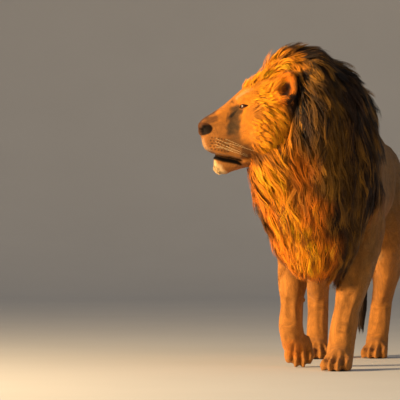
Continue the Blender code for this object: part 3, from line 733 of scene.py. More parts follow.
place = mirrored(points)
face = face_share(points)
legs = 1 - soft_step(points[:, 2], 0.10, 0.50)
depth = 0.0050 - 0.0015 * legs - 0.0034 * face      # trunk 5 mm, feet 3.5 mm, face 1.6 mm
at_tassel = (points[:, 1] > 0.72) & (points[:, 2] < 0.50)
has_long_hair = (points[:, 1] < -0.12) | at_tassel
# Carved hollows also lie deep in the shell, so depth counts only where there is long hair.
in_mane = soft_step(-off_shell(points)[0], 0.010, 0.020) * has_long_hair
bare = np.maximum(leather_share(place) * face, (ring < 1.5) & near_eye)
depth *= (1 - in_mane) * (1 - bare)
write_points(skin.data, points)
points = points - read_normals(skin.data) * depth[:, None]
write_points(skin.data, points)
SKIN_VOXEL = 0.006
off_skin = distance_field(level_set(skin.data, SKIN_VOXEL, 0.10), SKIN_VOXEL)
print("deepest coat on short hair:", round(depth.max() * 1000, 1), "mm")

# %% [markdown]
# ## Colours
# Skin and hair share one paint box. A colour starts as tan everywhere, and dabs are laid over it
# in turn: each is a colour, a strength, a reach and a line to lie along. Every point of the skin
# and every lock of hair asks the same function, so that the markings run through both. Some dabs
# are painted shade: the grey band beside the muzzle, the black in and behind the ears, the outer
# side of the left foreleg, and part of the dark behind the mouth's corners. Part of the pale over
# each brow is a painted highlight.


# %% The paint box
def srgb(red, green, blue):
    """Linear light from the three everyday colour numbers: roughly (v / 255)^2.2."""
    return (np.array([red, green, blue]) / 255) ** 2.2


PAINT = {
    "tan": srgb(156, 98, 40), "sand": srgb(180, 116, 50), "pale": srgb(232, 200, 146),
    "gold": srgb(250, 148, 6), "rust": srgb(242, 128, 5), "olive": srgb(124, 84, 26),
    "umber": srgb(54, 34, 17), "black": srgb(18, 14, 11), "shade_grey": srgb(70, 52, 30),
    "leather": srgb(84, 54, 34), "dun": srgb(134, 100, 60), "amber": srgb(84, 46, 14),
}
FACE_DABS = [  # colour, strength, reach, line on the head
    ("gold", 0.50, 0.090, [(0.200, 0.030, 0.160), (0.300, 0.060, 0.240)]),
    ("gold", 0.35, 0.080, [(0.215, 0.100, 0.040), (0.245, 0.110, -0.110)]),
    ("gold", 0.20, 0.060, [(0.110, 0.030, 0.060), (0.170, 0.060, 0.020)]),
    ("sand", 0.45, 0.026, [(0.085, 0.000, 0.070), (0.185, 0.020, 0.140)]),
    ("leather", 0.90, 0.026, [(0.008, 0.000, 0.012), (0.060, 0.000, 0.050)]),     # top of the nose
    ("leather", 0.60, 0.016, [(0.034, 0.026, 0.018), (0.062, 0.028, 0.028)]),
    # painted shade: a grey band from the inner corner of the eye down the hollow beside the muzzle
    ("shade_grey", 0.92, 0.030, [(0.150, 0.046, 0.058), (0.134, 0.054, 0.032), (0.130, 0.056, -0.004)]),
    ("shade_grey", 0.60, 0.030, [(0.130, 0.056, -0.010), (0.148, 0.062, -0.060)]),
    # brown hair behind the mouth's corner, in part painted shade in the pit there
    ("umber", 0.75, 0.036, [(0.188, 0.080, -0.100), (0.226, 0.090, -0.128)]),     # mouth's corner
    ("pale", 0.20, 0.020, [(0.016, 0.014, -0.060), (0.036, 0.030, -0.092)]),
    ("pale", 0.56, 0.034, [(0.040, 0.000, -0.140), (0.075, 0.015, -0.180)]),
    # pale fur over the brow, in part a painted highlight on the brow ridge
    ("pale", 0.30, 0.013, [(0.152, 0.040, 0.116), (0.205, 0.050, 0.140)]),
    ("umber", 0.55, 0.0060, [(0.128, 0.030, 0.100), (0.150, 0.040, 0.082)]),      # frown
    ("umber", 0.45, 0.0045, [(0.112, 0.042, 0.052), (0.106, 0.046, 0.020), (0.112, 0.050, -0.010)]),
    ("black", 0.90, 0.0065, [(0.162, 0.049, 0.070), (0.140, 0.046, 0.056), (0.124, 0.044, 0.040)]),
    ("pale", 0.95, 0.0075, [(0.162, 0.052, 0.058), (0.182, 0.064, 0.060), (0.206, 0.074, 0.074)]),
    ("rust", 0.80, 0.060, [(0.318, 0.118, 0.120), (0.330, 0.120, 0.185)]),        # ear
    # painted shade: black behind the ear, where ear and mane meet
    ("black", 0.95, 0.026, [(0.385, 0.105, 0.100), (0.385, 0.105, 0.190)]),       # behind the ear
    # painted shade: black in the ear's hollow
    ("black", 0.95, 0.021, [(0.331, 0.122, 0.128), (0.333, 0.124, 0.158)]),       # its hollow
]
BODY_DABS = [  # the same in the lion's frame
    ("olive", 0.45, 0.130, [(0.13, -0.20, 1.06), (0.14, 0.30, 0.98), (0.14, 0.66, 0.92)]),
    ("dun", 0.75, 0.240, [(0.26, -0.15, 0.86), (0.26, 0.50, 0.80)]),
    ("dun", 0.75, 0.240, [(0.00, -0.15, 0.86), (0.00, 0.50, 0.80)]),
    # painted shade: the outer side of the left foreleg, away from the low lamp, made duller
    ("dun", 0.60, 0.060, [(0.31, -0.44, 0.60), (0.27, -0.50, 0.40), (0.25, -0.56, 0.20)]),
    ("rust", 0.35, 0.050, [(-0.04, -0.42, 0.16), (-0.02, -0.44, 0.08)]),
    ("pale", 0.55, 0.120, [(0.13, -0.20, 0.46), (0.13, 0.45, 0.48)]),
    ("black", 0.95, 0.090, [(0.145, 0.83, 0.30), (0.147, 0.82, 0.12)]),
]
MANE_DABS = [
    ("olive", 0.80, 0.085, [(0.08, -0.82, 1.16), (0.15, -0.80, 1.00), (0.16, -0.80, 0.76)]),
    ("olive", 0.45, 0.110, [(-0.08, -0.60, 1.05), (-0.10, -0.60, 0.70)]),
    ("rust", 0.95, 0.165, [(-0.07, -0.88, 0.78), (-0.03, -0.84, 0.60), (0.05, -0.76, 0.40)]),
    ("gold", 0.80, 0.080, [(-0.05, -0.88, 0.74), (0.01, -0.84, 0.54), (0.08, -0.74, 0.42)]),
    ("umber", 0.50, 0.030, [(-0.02, -0.88, 0.82), (0.06, -0.84, 0.62)]),
    ("black", 0.96, 0.130, [(0.04, -0.58, 1.29), (0.18, -0.54, 1.22), (0.28, -0.46, 1.08),
                            (0.32, -0.40, 0.86)]),
    ("olive", 0.90, 0.070, [(0.03, -0.66, 1.27), (0.12, -0.62, 1.21), (0.19, -0.58, 1.13)]),
    ("olive", 0.75, 0.070, [(0.21, -0.72, 0.78), (0.22, -0.68, 0.62), (0.20, -0.62, 0.50)]),
]
MANE_HEAD_DABS = [
    ("gold", 0.95, 0.065, [(0.265, 0.095, 0.110), (0.275, 0.085, 0.170)]),
    ("gold", 0.88, 0.095, [(0.240, 0.110, 0.050), (0.285, 0.140, -0.060), (0.262, 0.110, -0.190)]),
    ("gold", 0.96, 0.072, [(0.220, 0.020, 0.190), (0.290, 0.050, 0.240), (0.345, 0.080, 0.235)]),
    ("tan", 0.60, 0.040, [(0.170, 0.070, 0.060), (0.215, 0.090, 0.060)]),
    # brown hair behind the mouth's corner, in part painted shade in the pit there
    ("umber", 0.75, 0.034, [(0.188, 0.080, -0.100), (0.226, 0.090, -0.128)]),
    # painted shade: black in the mane behind the ear
    ("black", 0.97, 0.034, [(0.396, 0.120, 0.200), (0.398, 0.128, 0.070)]),
]
ROW_HEIGHTS = (-0.043, -0.055, -0.066, -0.077, -0.088)       # rows of whiskers above the nose tip
FIRST_WHISKER, WHISKER_STEP = 0.046, 0.0125


def line_far(places, line):
    """Distance of places from a line through several points."""
    return np.min([line_distance(places, a, b) for a, b in zip(line, line[1:])], axis=0)


def ripple(points, size):
    """A smooth wobble between -1 and 1: three crossed sine waves of the given size."""
    x, y, z = (points / size).T
    return (np.sin(x + 1.7 * np.sin(y * 0.9)) + np.sin(y * 1.1 + 1.3 * np.sin(z * 0.8))
            + np.sin(z * 1.2 + 1.5 * np.sin(x * 0.7))) / 3


def lay(colour, dabs, places, points):
    """Lays dabs over colours, with soft and slightly ragged edges."""
    for name, strength, reach, line in dabs:
        far = line_far(places, line) + reach * 0.26 * ripple(points, reach * 0.20)
        share = strength * (1 - soft_step(far, reach * 0.55, reach * 1.25))
        colour += share[:, None] * (PAINT[name] - colour)
    return colour


def whisker_spots(place):
    """1 on the dark spots in rows on the upper lip, seen from the side."""
    spots = np.zeros(len(place))
    for number, row in enumerate(ROW_HEIGHTS):
        for step in range(6):
            spot = [FIRST_WHISKER + WHISKER_STEP * (step - 0.4 * (number % 2)), row - 0.002 * step]
            spots = np.maximum(spots, bell(np.linalg.norm(place[:, [0, 2]] - spot, axis=1), 0.0036))
    return spots * (place[:, 1] > 0.015) * (place[:, 1] < 0.10)


def coat_colour(points, mane):
    """Colour of the coat at each point; mane is 1 in the long hair and 0 outside it."""
    place = mirrored(points)
    colour = np.tile(PAINT["tan"], (len(points), 1))
    low = 1 - soft_step(points[:, 2], 0.30, 0.62)
    colour += low[:, None] * 0.8 * (PAINT["sand"] - colour)
    colour = lay(colour, BODY_DABS, points - HOME, points)
    colour = lay(colour, FACE_DABS, place, points)
    colour *= (1 + 0.16 * ripple(points, 0.006) + 0.14 * ripple(points[:, ::-1], 0.021))[:, None]
    colour += 0.95 * whisker_spots(place)[:, None] * (PAINT["umber"] - colour)
    long_hair = np.tile(PAINT["umber"], (len(points), 1))
    long_hair = lay(long_hair, MANE_DABS, points - HOME, points)
    long_hair = lay(long_hair, MANE_HEAD_DABS, place, points)
    return colour + np.clip(mane, 0, 1)[:, None] * (long_hair - colour)


print("paints:", ", ".join(PAINT))

# %% [markdown]
# Nose leather, lips and lids have no hair on them. They are painted on the skin alone, after the
# coat's colour: black lips that show where the mouth stands open a little, black lids, and a
# leather that is brown on top of the nose and black at its sides and in the nostrils.

# %% Paint the skin
place = mirrored(points)
tint = coat_colour(points, in_mane)
# the skin and wool under the mane made darker: partly the hair's dark roots, partly painted shade under
# the locks
tint *= (1 - 0.45 * in_mane)[:, None]
over_lip = place[:, 2] - lip_height(place[:, 0])
near_lip = lip_share(place) * face_share(points)
lips = near_lip * np.maximum(
    bell(over_lip, 0.0065),
    soft_step(-over_lip, 0.000, 0.004) * soft_step(over_lip, -0.026, -0.016)
    * soft_step(place[:, 0], 0.030, 0.060) * soft_step(-place[:, 0] - over_lip * 1.2, -0.162, -0.140))
leather = leather_share(place) * face
nostril = bell(line_far(place, NOSTRIL), 0.012)
lids = ((ring < 1.36) & near_eye).astype(float)
side_of_nose = soft_step(place[:, 0], 0.004, 0.014) * soft_step(-place[:, 2], -0.012, -0.002)
for share, name in ((leather, "leather"), (0.92 * leather * side_of_nose, "black"),
                    (nostril * leather, "black"), (lips, "black"), (lids, "black")):
    tint += np.clip(share, 0, 1)[:, None] * (PAINT[name] - tint)
# painted shade in the clefts between the toes
tint *= (1 - 0.45 * toe_clefts(points))[:, None]
bare = np.clip(np.maximum.reduce([leather, lips, lids]), 0, 1)
print("bare skin on", int((bare > 0.5).sum()), "points")


# %% Attributes that materials read
def add_attribute(mesh, name, values):
    """Stores one number or one direction or colour for each vertex."""
    kind, field = {1: ("FLOAT", "value"), 3: ("FLOAT_VECTOR", "vector"),
                   4: ("FLOAT_COLOR", "color")}[values.shape[1] if values.ndim > 1 else 1]
    layer = mesh.attributes.new(name, kind, "POINT")
    layer.data.foreach_set(field, np.ascontiguousarray(values, dtype=np.float32).ravel())


def with_alpha(colour):
    """Colours with a fourth number of 1."""
    return np.concatenate([colour, np.ones((len(colour), 1))], axis=1)


_, outward = off_skin(points)
add_attribute(skin.data, "tint", with_alpha(tint))
add_attribute(skin.data, "lie", flattened(comb(points), outward))
add_attribute(skin.data, "bare", bare)
skin.data.polygons.foreach_set("use_smooth", np.ones(len(skin.data.polygons), dtype=bool))

# %% [markdown]
# ## Materials
# Short fur is a grain: fine streaks drawn out along the lie of the coat. The node group takes the
# direction from the attribute, squeezes the position along it, and feeds that to a noise, so the
# streaks follow the comb. It gives a height for the bump and a shade for the colour, and both the
# skin and the locks use it.


# %% Node helpers and the fur grain
def fill_in(made, **values):
    """Sets a node's settings, or else its inputs. An underscore stands for a space in a name."""
    for key, value in values.items():
        if hasattr(made, key):
            setattr(made, key, value)
        else:
            made.inputs[key.replace("_", " ")].default_value = value
    return made


def node(tree, kind, **values):
    """A new node with its inputs or settings filled in."""
    return fill_in(tree.nodes.new(kind), **values)


def times(tree, colour, factor):
    """A colour made lighter or darker by a factor: both are sockets."""
    scaled = node(tree, "ShaderNodeVectorMath", operation="SCALE")
    tree.links.new(colour, scaled.inputs[0])
    tree.links.new(factor, scaled.inputs["Scale"])
    return scaled.outputs[0]


def raise_relief(tree, height, shader, strength, distance):
    """Lets a height socket bend the light on a shader, as a relief of the given distance."""
    relief = node(tree, "ShaderNodeBump", Strength=strength, Distance=distance)
    tree.links.new(height, relief.inputs["Height"])
    tree.links.new(relief.outputs[0], shader.inputs["Normal"])


def build_grain():
    """Group: Lie, Scale, Stretch -> Height, Shade (noise stretched along Lie)."""
    tree = bpy.data.node_groups.new("fur grain", "ShaderNodeTree")
    for name, kind, start in (("Lie", "NodeSocketVector", None), ("Scale", "NodeSocketFloat", 300.0),
                              ("Stretch", "NodeSocketFloat", 0.85)):
        socket = tree.interface.new_socket(name=name, in_out="INPUT", socket_type=kind)
        if start is not None:
            socket.default_value = start
    for name in ("Height", "Shade"):
        tree.interface.new_socket(name=name, in_out="OUTPUT", socket_type="NodeSocketFloat")
    link = tree.links.new
    source, result = node(tree, "NodeGroupInput"), node(tree, "NodeGroupOutput")
    where = node(tree, "ShaderNodeTexCoord")
    dot = node(tree, "ShaderNodeVectorMath", operation="DOT_PRODUCT")
    part = node(tree, "ShaderNodeMath", operation="MULTIPLY")
    along = node(tree, "ShaderNodeVectorMath", operation="SCALE")
    across = node(tree, "ShaderNodeVectorMath", operation="SUBTRACT")
    link(where.outputs["Object"], dot.inputs[0])
    link(source.outputs["Lie"], dot.inputs[1])
    link(dot.outputs["Value"], part.inputs[0])
    link(source.outputs["Stretch"], part.inputs[1])
    link(source.outputs["Lie"], along.inputs[0])
    link(part.outputs[0], along.inputs["Scale"])
    link(where.outputs["Object"], across.inputs[0])
    link(along.outputs[0], across.inputs[1])
    fine = node(tree, "ShaderNodeTexNoise", Detail=3.0, Roughness=0.6)
    broad = node(tree, "ShaderNodeTexNoise", Scale=28.0, Detail=4.0, Roughness=0.6)
    link(across.outputs[0], fine.inputs["Vector"])
    link(source.outputs["Scale"], fine.inputs["Scale"])
    link(across.outputs[0], broad.inputs["Vector"])
    both = node(tree, "ShaderNodeMix", data_type="FLOAT", Factor=0.45)
    link(fine.outputs["Fac"], both.inputs[2])
    link(broad.outputs["Fac"], both.inputs[3])
    link(fine.outputs["Fac"], result.inputs["Height"])
    link(both.outputs[0], result.inputs["Shade"])
    return tree


def read_attribute(tree, name):
    """An Attribute node for a stored layer."""
    return node(tree, "ShaderNodeAttribute", attribute_name=name)


def new_material(name):
    """A material with an empty Principled BSDF, its tree and that shader."""
    material = bpy.data.materials.new(name)
    material.use_nodes = True
    return material, material.node_tree, material.node_tree.nodes["Principled BSDF"]


grain = build_grain()
FUR_RELIEF, PEBBLE_RELIEF = 0.0028, 0.0006


def fur_material(name, scale, contrast, bump, roughness):
    """Stored tint, made lighter and darker by the grain, with the grain's bump."""
    material, tree, shader = new_material(name)
    link = tree.links.new
    lie, tint = read_attribute(tree, "lie"), read_attribute(tree, "tint")
    streaks = node(tree, "ShaderNodeGroup", node_tree=grain)
    fill_in(streaks, Scale=scale)
    link(lie.outputs["Vector"], streaks.inputs["Lie"])
    light = node(tree, "ShaderNodeMapRange", From_Min=0.3, From_Max=0.7, To_Min=1 - contrast,
                 To_Max=1 + contrast)
    link(streaks.outputs["Shade"], light.inputs["Value"])
    link(times(tree, tint.outputs["Color"], light.outputs[0]), shader.inputs["Base Color"])
    raise_relief(tree, streaks.outputs["Height"], shader, bump, FUR_RELIEF)
    fill_in(shader, Roughness=roughness, Specular_IOR_Level=0.22, Sheen_Weight=0.10,
            Sheen_Roughness=0.4)
    return material, tree, shader


skin_finish, tree, shader = fur_material("short_coat", 420.0, 0.55, 1.0, 0.75)
wet = read_attribute(tree, "bare")
rough = node(tree, "ShaderNodeMapRange", To_Min=0.75, To_Max=0.34)
tree.links.new(wet.outputs["Fac"], rough.inputs["Value"])
tree.links.new(rough.outputs[0], shader.inputs["Roughness"])
skin.data.materials.append(skin_finish)


def bare_material():
    """Nose leather, lips and lids: the stored tint, fine pebbles, and hardly any gloss."""
    material, tree, shader = new_material("nose_and_lips")
    link = tree.links.new
    tint, where = read_attribute(tree, "tint"), node(tree, "ShaderNodeTexCoord")
    pebbles = node(tree, "ShaderNodeTexVoronoi", Scale=520.0)
    link(where.outputs["Object"], pebbles.inputs["Vector"])
    raise_relief(tree, pebbles.outputs["Distance"], shader, 0.35, PEBBLE_RELIEF)
    link(tint.outputs["Color"], shader.inputs["Base Color"])
    fill_in(shader, Roughness=0.65, Specular_IOR_Level=0.07)
    return material


corner_points = np.empty(len(skin.data.loops), dtype=np.int32)
skin.data.loops.foreach_get("vertex_index", corner_points)
face_starts = np.empty(len(skin.data.polygons), dtype=np.int32)
skin.data.polygons.foreach_get("loop_start", face_starts)
face_sizes = np.diff(np.append(face_starts, len(corner_points)))
face_bare = np.add.reduceat(bare[corner_points], face_starts) / face_sizes
skin.data.materials.append(bare_material())
skin.data.polygons.foreach_set("material_index", (face_bare > 0.5).astype(np.int32))
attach(skin, "root")
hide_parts(*FLESH)
print("faces of bare skin:", int((face_bare > 0.5).sum()), "of", len(face_bare))

# %% [markdown]
# ## The eyes
# An eyeball is a sphere with a slightly steeper cornea at the front. Here it is a grid of two
# parameters, the angle off the line of sight and the turn round it. The radius swells a little
# where the angle is small. The angle is stored on the mesh, so that pupil, iris and rim are rings
# of one colour ramp, with fine rays in the iris.


# %% Eyeballs
CORNEA_RISE, CORNEA_REACH = 0.0011, 0.52


def eyeball(hand, rings=28, turns=48):
    """Sphere about its node's middle, of radius EYE_RADIUS + CORNEA_RISE * bell(angle, reach)."""
    sight = from_head([[-0.84, 0.54 * hand, 0.06]])[0] - NOSE
    sight /= np.linalg.norm(sight)
    sideways = np.cross(UP, sight)
    sideways /= np.linalg.norm(sideways)
    upright = np.cross(sight, sideways)
    off, turn = np.meshgrid(np.linspace(0, math.pi, rings + 1)[1:-1],
                            np.linspace(0, 2 * math.pi, turns, endpoint=False), indexing="ij")
    radius = EYE_RADIUS + CORNEA_RISE * bell(off, CORNEA_REACH)
    spots = (np.cos(off)[..., None] * sight + (np.sin(off) * np.cos(turn))[..., None] * sideways
             + (np.sin(off) * np.sin(turn))[..., None] * upright) * radius[..., None]
    front, back = sight * (EYE_RADIUS + CORNEA_RISE), -sight * EYE_RADIUS
    points = np.concatenate([spots.reshape(-1, 3), [front, back]]) + eyes[hand]
    around = np.arange(turns)
    following = (around + 1) % turns
    first = (np.arange(rings - 2) * turns)[:, None]
    quads = np.stack([first + around, first + following, first + turns + following,
                      first + turns + around], axis=-1).reshape(-1, 4)
    last = (rings - 2) * turns
    count = len(points)
    cap = np.stack([following, around, np.full(turns, count - 2)], axis=1)
    end = np.stack([last + around, last + following, np.full(turns, count - 1)], axis=1)
    faces = [face for kind in (quads, cap, end) for face in kind[:, ::-1].tolist()]
    mesh = bpy.data.meshes.new("ball")
    mesh.from_pydata(points.tolist(), [], faces)
    mesh.polygons.foreach_set("use_smooth", np.ones(len(mesh.polygons), dtype=bool))
    ray = np.concatenate([turn.ravel(), [0, 0]])
    add_attribute(mesh, "off_sight", np.concatenate([off.ravel(), [0, math.pi]]))
    add_attribute(mesh, "ray", np.stack([np.cos(ray), np.sin(ray), ray * 0], axis=1))
    return mesh


def eye_material():
    """Rings of the eye from the stored angle, with rays from the stored turn."""
    material, tree, shader = new_material("eye")
    link = tree.links.new
    off, ray = read_attribute(tree, "off_sight"), read_attribute(tree, "ray")
    ramp = node(tree, "ShaderNodeValToRGB")
    stops = [(0.00, "black"), (0.215, "black"), (0.235, "amber"), (0.52, "amber"),
             (0.66, "leather"), (0.72, "black"), (1.00, "black")]
    for number, (where, name) in enumerate(stops):
        stop = ramp.color_ramp.elements[number] if number < 2 else ramp.color_ramp.elements.new(where)
        stop.position = where
        stop.color = (*(PAINT[name] * (0.25 if name == "black" else 1.0)), 1)
    rays = node(tree, "ShaderNodeTexNoise", Scale=14.0, Detail=3.0)
    link(ray.outputs["Vector"], rays.inputs["Vector"])
    light = node(tree, "ShaderNodeMapRange", To_Min=0.5, To_Max=1.5)
    link(rays.outputs["Fac"], light.inputs["Value"])
    link(off.outputs["Fac"], ramp.inputs["Fac"])
    link(times(tree, ramp.outputs["Color"], light.outputs[0]), shader.inputs["Base Color"])
    fill_in(shader, Roughness=0.2, Coat_Weight=0.4, Coat_Roughness=0.05)
    return material


eye_finish = eye_material()
for hand, side in ((1, "left"), (-1, "right")):
    ball = new_object("eyeball_" + side, eyeball(hand))
    ball.data.materials.append(eye_finish)
    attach(ball, "root")
    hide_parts("eye_" + side)
print("eyeballs of", len(ball.data.polygons), "faces")

# %% [markdown]
# ## Locks
# All hair is made by one pair of functions. The first grows paths: from its root each lock goes a
# step along the comb, is laid flat on the surface, and then pulled to the depth that it should have
# by then. The second wraps a thin three-sided blade round every path, tapering to a point, and
# joins thousands of them into one mesh with whole-array arithmetic.


# %% Roots spread over a mesh
def sow(mesh, count, density):
    """Roots spread evenly over a mesh, more where density(middle of a face) is greater.

    Triangles are walked in order, each as long as its area times density, and a root is dropped
    at every equal step of that walk, at a random place in its triangle.
    """
    points, corners = read_points(mesh), triangles_of(mesh)
    a, b, c = (points[corners[:, i]] for i in range(3))
    area = np.linalg.norm(np.cross(b - a, c - a), axis=1) / 2
    walk = np.cumsum(area * density((a + b + c) / 3))
    pick = np.searchsorted(walk, (np.arange(count) + dice.random(count)) / count * walk[-1])
    pick = np.minimum(pick, len(corners) - 1)
    u, v = dice.random((2, count))
    u, v = np.where(u + v > 1, 1 - u, u), np.where(u + v > 1, 1 - v, v)
    return a[pick] + (b - a)[pick] * u[:, None] + (c - a)[pick] * v[:, None]


# %% Growing
def grow(roots, length, rise_from, rise_to, off_surface, steps, stray, cling=1.0, hang=0.0):
    """Paths of hair, an array of (locks, steps + 1, 3).

    rise_from and rise_to are the wanted distances from the surface at root and tip; between them
    the distance follows the square root of the way along. stray is a constant sideways turn.
    cling is how strongly hair that has left the surface is drawn back to it: hair that clings
    follows the form round, hair that doesn't runs straight on and makes a fringe. hang is the
    share of the comb's own direction that is kept where it leaves the surface.
    """
    here = roots
    distance, out = off_surface(here)
    here = here + out * (rise_from - distance)[:, None]
    path = [here]
    for step in range(1, steps + 1):
        lie = comb(here)
        way = flattened(lie, out)
        way = flattened(way + np.cross(out, way) * stray[:, None], out)
        way = way * (1 - hang) + lie * hang
        here = here + way * (length / steps)[:, None]
        distance, out = off_surface(here)
        want = rise_from + (rise_to - rise_from) * math.sqrt(step / steps)
        short = want - distance
        short = np.where(short < 0, short * cling, short)
        here = here + out * np.clip(short, -0.03, 0.03)[:, None]
        path.append(here)
    return np.stack(path, axis=1)


def nearest(points, others):
    """Number of the nearest of the others for each point."""
    out = np.empty(len(points), dtype=int)
    others_squared = np.sum(others ** 2, axis=1)
    for start in range(0, len(points), 2000):
        block = points[start:start + 2000]
        far = np.sum(block ** 2, axis=1)[:, None] - 2 * block @ others.T + others_squared
        out[start:start + 2000] = np.argmin(far, axis=1)
    return out


TIP_SPREAD = 0.22


def clump(paths, guides, owner, pull):
    """Draws locks together towards their guide, by pull * share^1.2 of the way along.

    At its tip each lock still keeps TIP_SPREAD of the distance between their roots.
    """
    share = np.linspace(0, 1, paths.shape[1])[None, :, None] ** 1.2
    offset = (paths[:, :1] - guides[owner][:, :1]) * TIP_SPREAD
    return paths + (guides[owner] + offset - paths) * share * pull[:, None, None]


# %% Blades round the paths
def unwrap(roots, outward):
    """Place of each root on a flat unfolding of the skin: six sides of a box, laid out three by two.

    A root goes to the side that its outward direction faces most, and keeps its two other
    coordinates there.
    """
    low, high = roots.min(axis=0), roots.max(axis=0)
    share = (roots - low) / (high - low)
    axis = np.argmax(np.abs(outward), axis=1)
    row = np.arange(len(roots))
    u = np.where(axis == 0, share[:, 1], share[:, 0])
    v = np.where(axis == 2, share[:, 1], share[:, 2])
    side = (outward[row, axis] > 0).astype(int)
    return np.stack([(axis + 0.02 + 0.96 * u) / 3, (side + 0.02 + 0.96 * v) / 2], axis=1)


PIECE_LIMIT = 190000     # triangles in one piece of hair
PATCH = 0.003            # side of a lock's patch on the unfolded skin


def blade_faces(rings):
    """Corners and sizes of a blade's faces: quads between rings, three at the tip, one at the root."""
    quads, tip = [], 3 * rings
    for ring in range(rings - 1):
        for k in range(3):
            a, b = 3 * ring + k, 3 * ring + (k + 1) % 3
            quads += [a, b, b + 3, a + 3]
    tops = [v for k in range(3) for v in (tip - 3 + k, tip - 3 + (k + 1) % 3, tip)]
    return np.array(quads + tops + [2, 1, 0]), np.array([4] * (3 * (rings - 1)) + [3] * 4)


def mesh_of_copies(name, points, pattern, sizes):
    """One smooth mesh of many shapes that share their faces, and its corners' vertex numbers."""
    count, each = points.shape[:2]
    mesh = bpy.data.meshes.new(name)
    mesh.vertices.add(count * each)
    mesh.vertices.foreach_set("co", points.astype(np.float32).ravel())
    corners = (np.arange(count)[:, None] * each + pattern).ravel()
    mesh.loops.add(len(corners))
    mesh.loops.foreach_set("vertex_index", corners.astype(np.int32))
    starts = np.concatenate([[0], np.cumsum(np.tile(sizes, count))[:-1]])
    mesh.polygons.add(count * len(sizes))
    mesh.polygons.foreach_set("loop_start", starts.astype(np.int32))
    mesh.polygons.foreach_set("use_smooth", np.ones(count * len(sizes), dtype=bool))
    mesh.update(calc_edges=True)
    return mesh, corners


def blades(name, paths, outward, width, thickness, colour, finish, nodes_replaced=()):
    """Meshes of tapering three-sided blades round paths, each of at most PIECE_LIMIT triangles.

    Across the path run two directions: side, along the surface, and out, away from it. A ring has
    corners at +side, -side and +out. The width over the way s along is
    (0.6 + 0.4 sin(pi min(2 s, 1) / 2)) * (1 - 0.8 s^1.6), and the tip is a point. Light falls on
    a lock as on a round one that lies on the body: the shading normals fan from the out direction.
    """
    count, stations = paths.shape[:2]
    rings = stations - 1
    along = np.gradient(paths, axis=1)
    along /= np.maximum(np.linalg.norm(along, axis=2), 1e-9)[..., None]
    side = np.cross(along, outward[:, None, :])
    side /= np.maximum(np.linalg.norm(side, axis=2), 1e-9)[..., None]
    out = np.cross(side, along)
    share = np.arange(stations)[:rings] / rings
    taper = (0.6 + 0.4 * np.sin(math.pi / 2 * np.minimum(share * 2, 1))) * (1 - 0.8 * share ** 1.6)
    w = (width[:, None] * taper)[..., None] / 2
    t = (thickness[:, None] * taper)[..., None]
    body = paths[:, :rings]
    ring = np.stack([body + side[:, :rings] * w, body - side[:, :rings] * w,
                     body + out[:, :rings] * t], axis=2)
    points = np.concatenate([ring.reshape(count, -1, 3), paths[:, -1:]], axis=1)
    fan = np.stack([out + 0.45 * side, out - 0.45 * side, out], axis=2)
    shading = np.concatenate([fan[:, :rings].reshape(count, -1, 3), out[:, -1:]], axis=1)
    shading /= np.maximum(np.linalg.norm(shading, axis=2), 1e-9)[..., None]
    each = points.shape[1]
    pattern, sizes = blade_faces(rings)
    uv_root = unwrap(paths[:, 0], outward)
    corner_uv = np.empty((each, 2))
    corner_uv[:-1, 0] = np.tile([PATCH / 2, -PATCH / 2, 0.0], rings)
    corner_uv[:-1, 1] = np.repeat(share * PATCH - PATCH / 2, 3)
    corner_uv[-1] = (0.0, PATCH / 2)
    paint_of = np.minimum(np.arange(each) // 3, colour.shape[1] - 1)
    triangles = int(np.sum(sizes - 2))
    per_piece = PIECE_LIMIT // triangles
    made = []
    for number, start in enumerate(range(0, count, per_piece)):
        chosen = slice(start, start + per_piece)
        mesh, corners = mesh_of_copies(name, points[chosen], pattern, sizes)
        mesh.normals_split_custom_set_from_vertices(shading[chosen].reshape(-1, 3).tolist())
        layer = mesh.uv_layers.new(name="OFBake")
        spread = (uv_root[chosen][:, None] + corner_uv).reshape(-1, 2)[corners]
        layer.data.foreach_set("uv", spread.astype(np.float32).ravel())
        add_attribute(mesh, "tint", with_alpha(colour[chosen][:, paint_of].reshape(-1, 3)))
        way = along[chosen]
        flow = np.concatenate([np.repeat(way[:, :rings], 3, axis=1), way[:, -1:]], axis=1)
        add_attribute(mesh, "lie", flow.reshape(-1, 3))
        thing = new_object(f"{name}_{number + 1}", mesh)
        mesh.materials.append(finish)
        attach(thing, "root")
        if nodes_replaced:
            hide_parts(*nodes_replaced)
        made.append(thing)
    print(f"{name}: {count} locks, {count * triangles} triangles in {len(made)} pieces")
    return made


# %% [markdown]
# ## Long hair
# A mane is a thatch. Locks are rooted down in the wool and come up to the outer shell of the mane
# solids at their tips. They hang together in strands: guides are grown first, and every lock is
# drawn towards the nearest guide and shares its wave, its shade and its stray. The same function
# makes the mane, the ruff of the cheeks, and the hair of forehead, ears and chin.


# %% Strands
WAVE_PITCH = 0.020                                    # length over which a wave turns by 1 radian
BLEACHED, STREAK_SHADE, TIP_SHADE = 0.7, 0.30, 1.25


def evenly(length):
    """A function that gives every point the same length."""
    return lambda points: np.full(len(points), length)


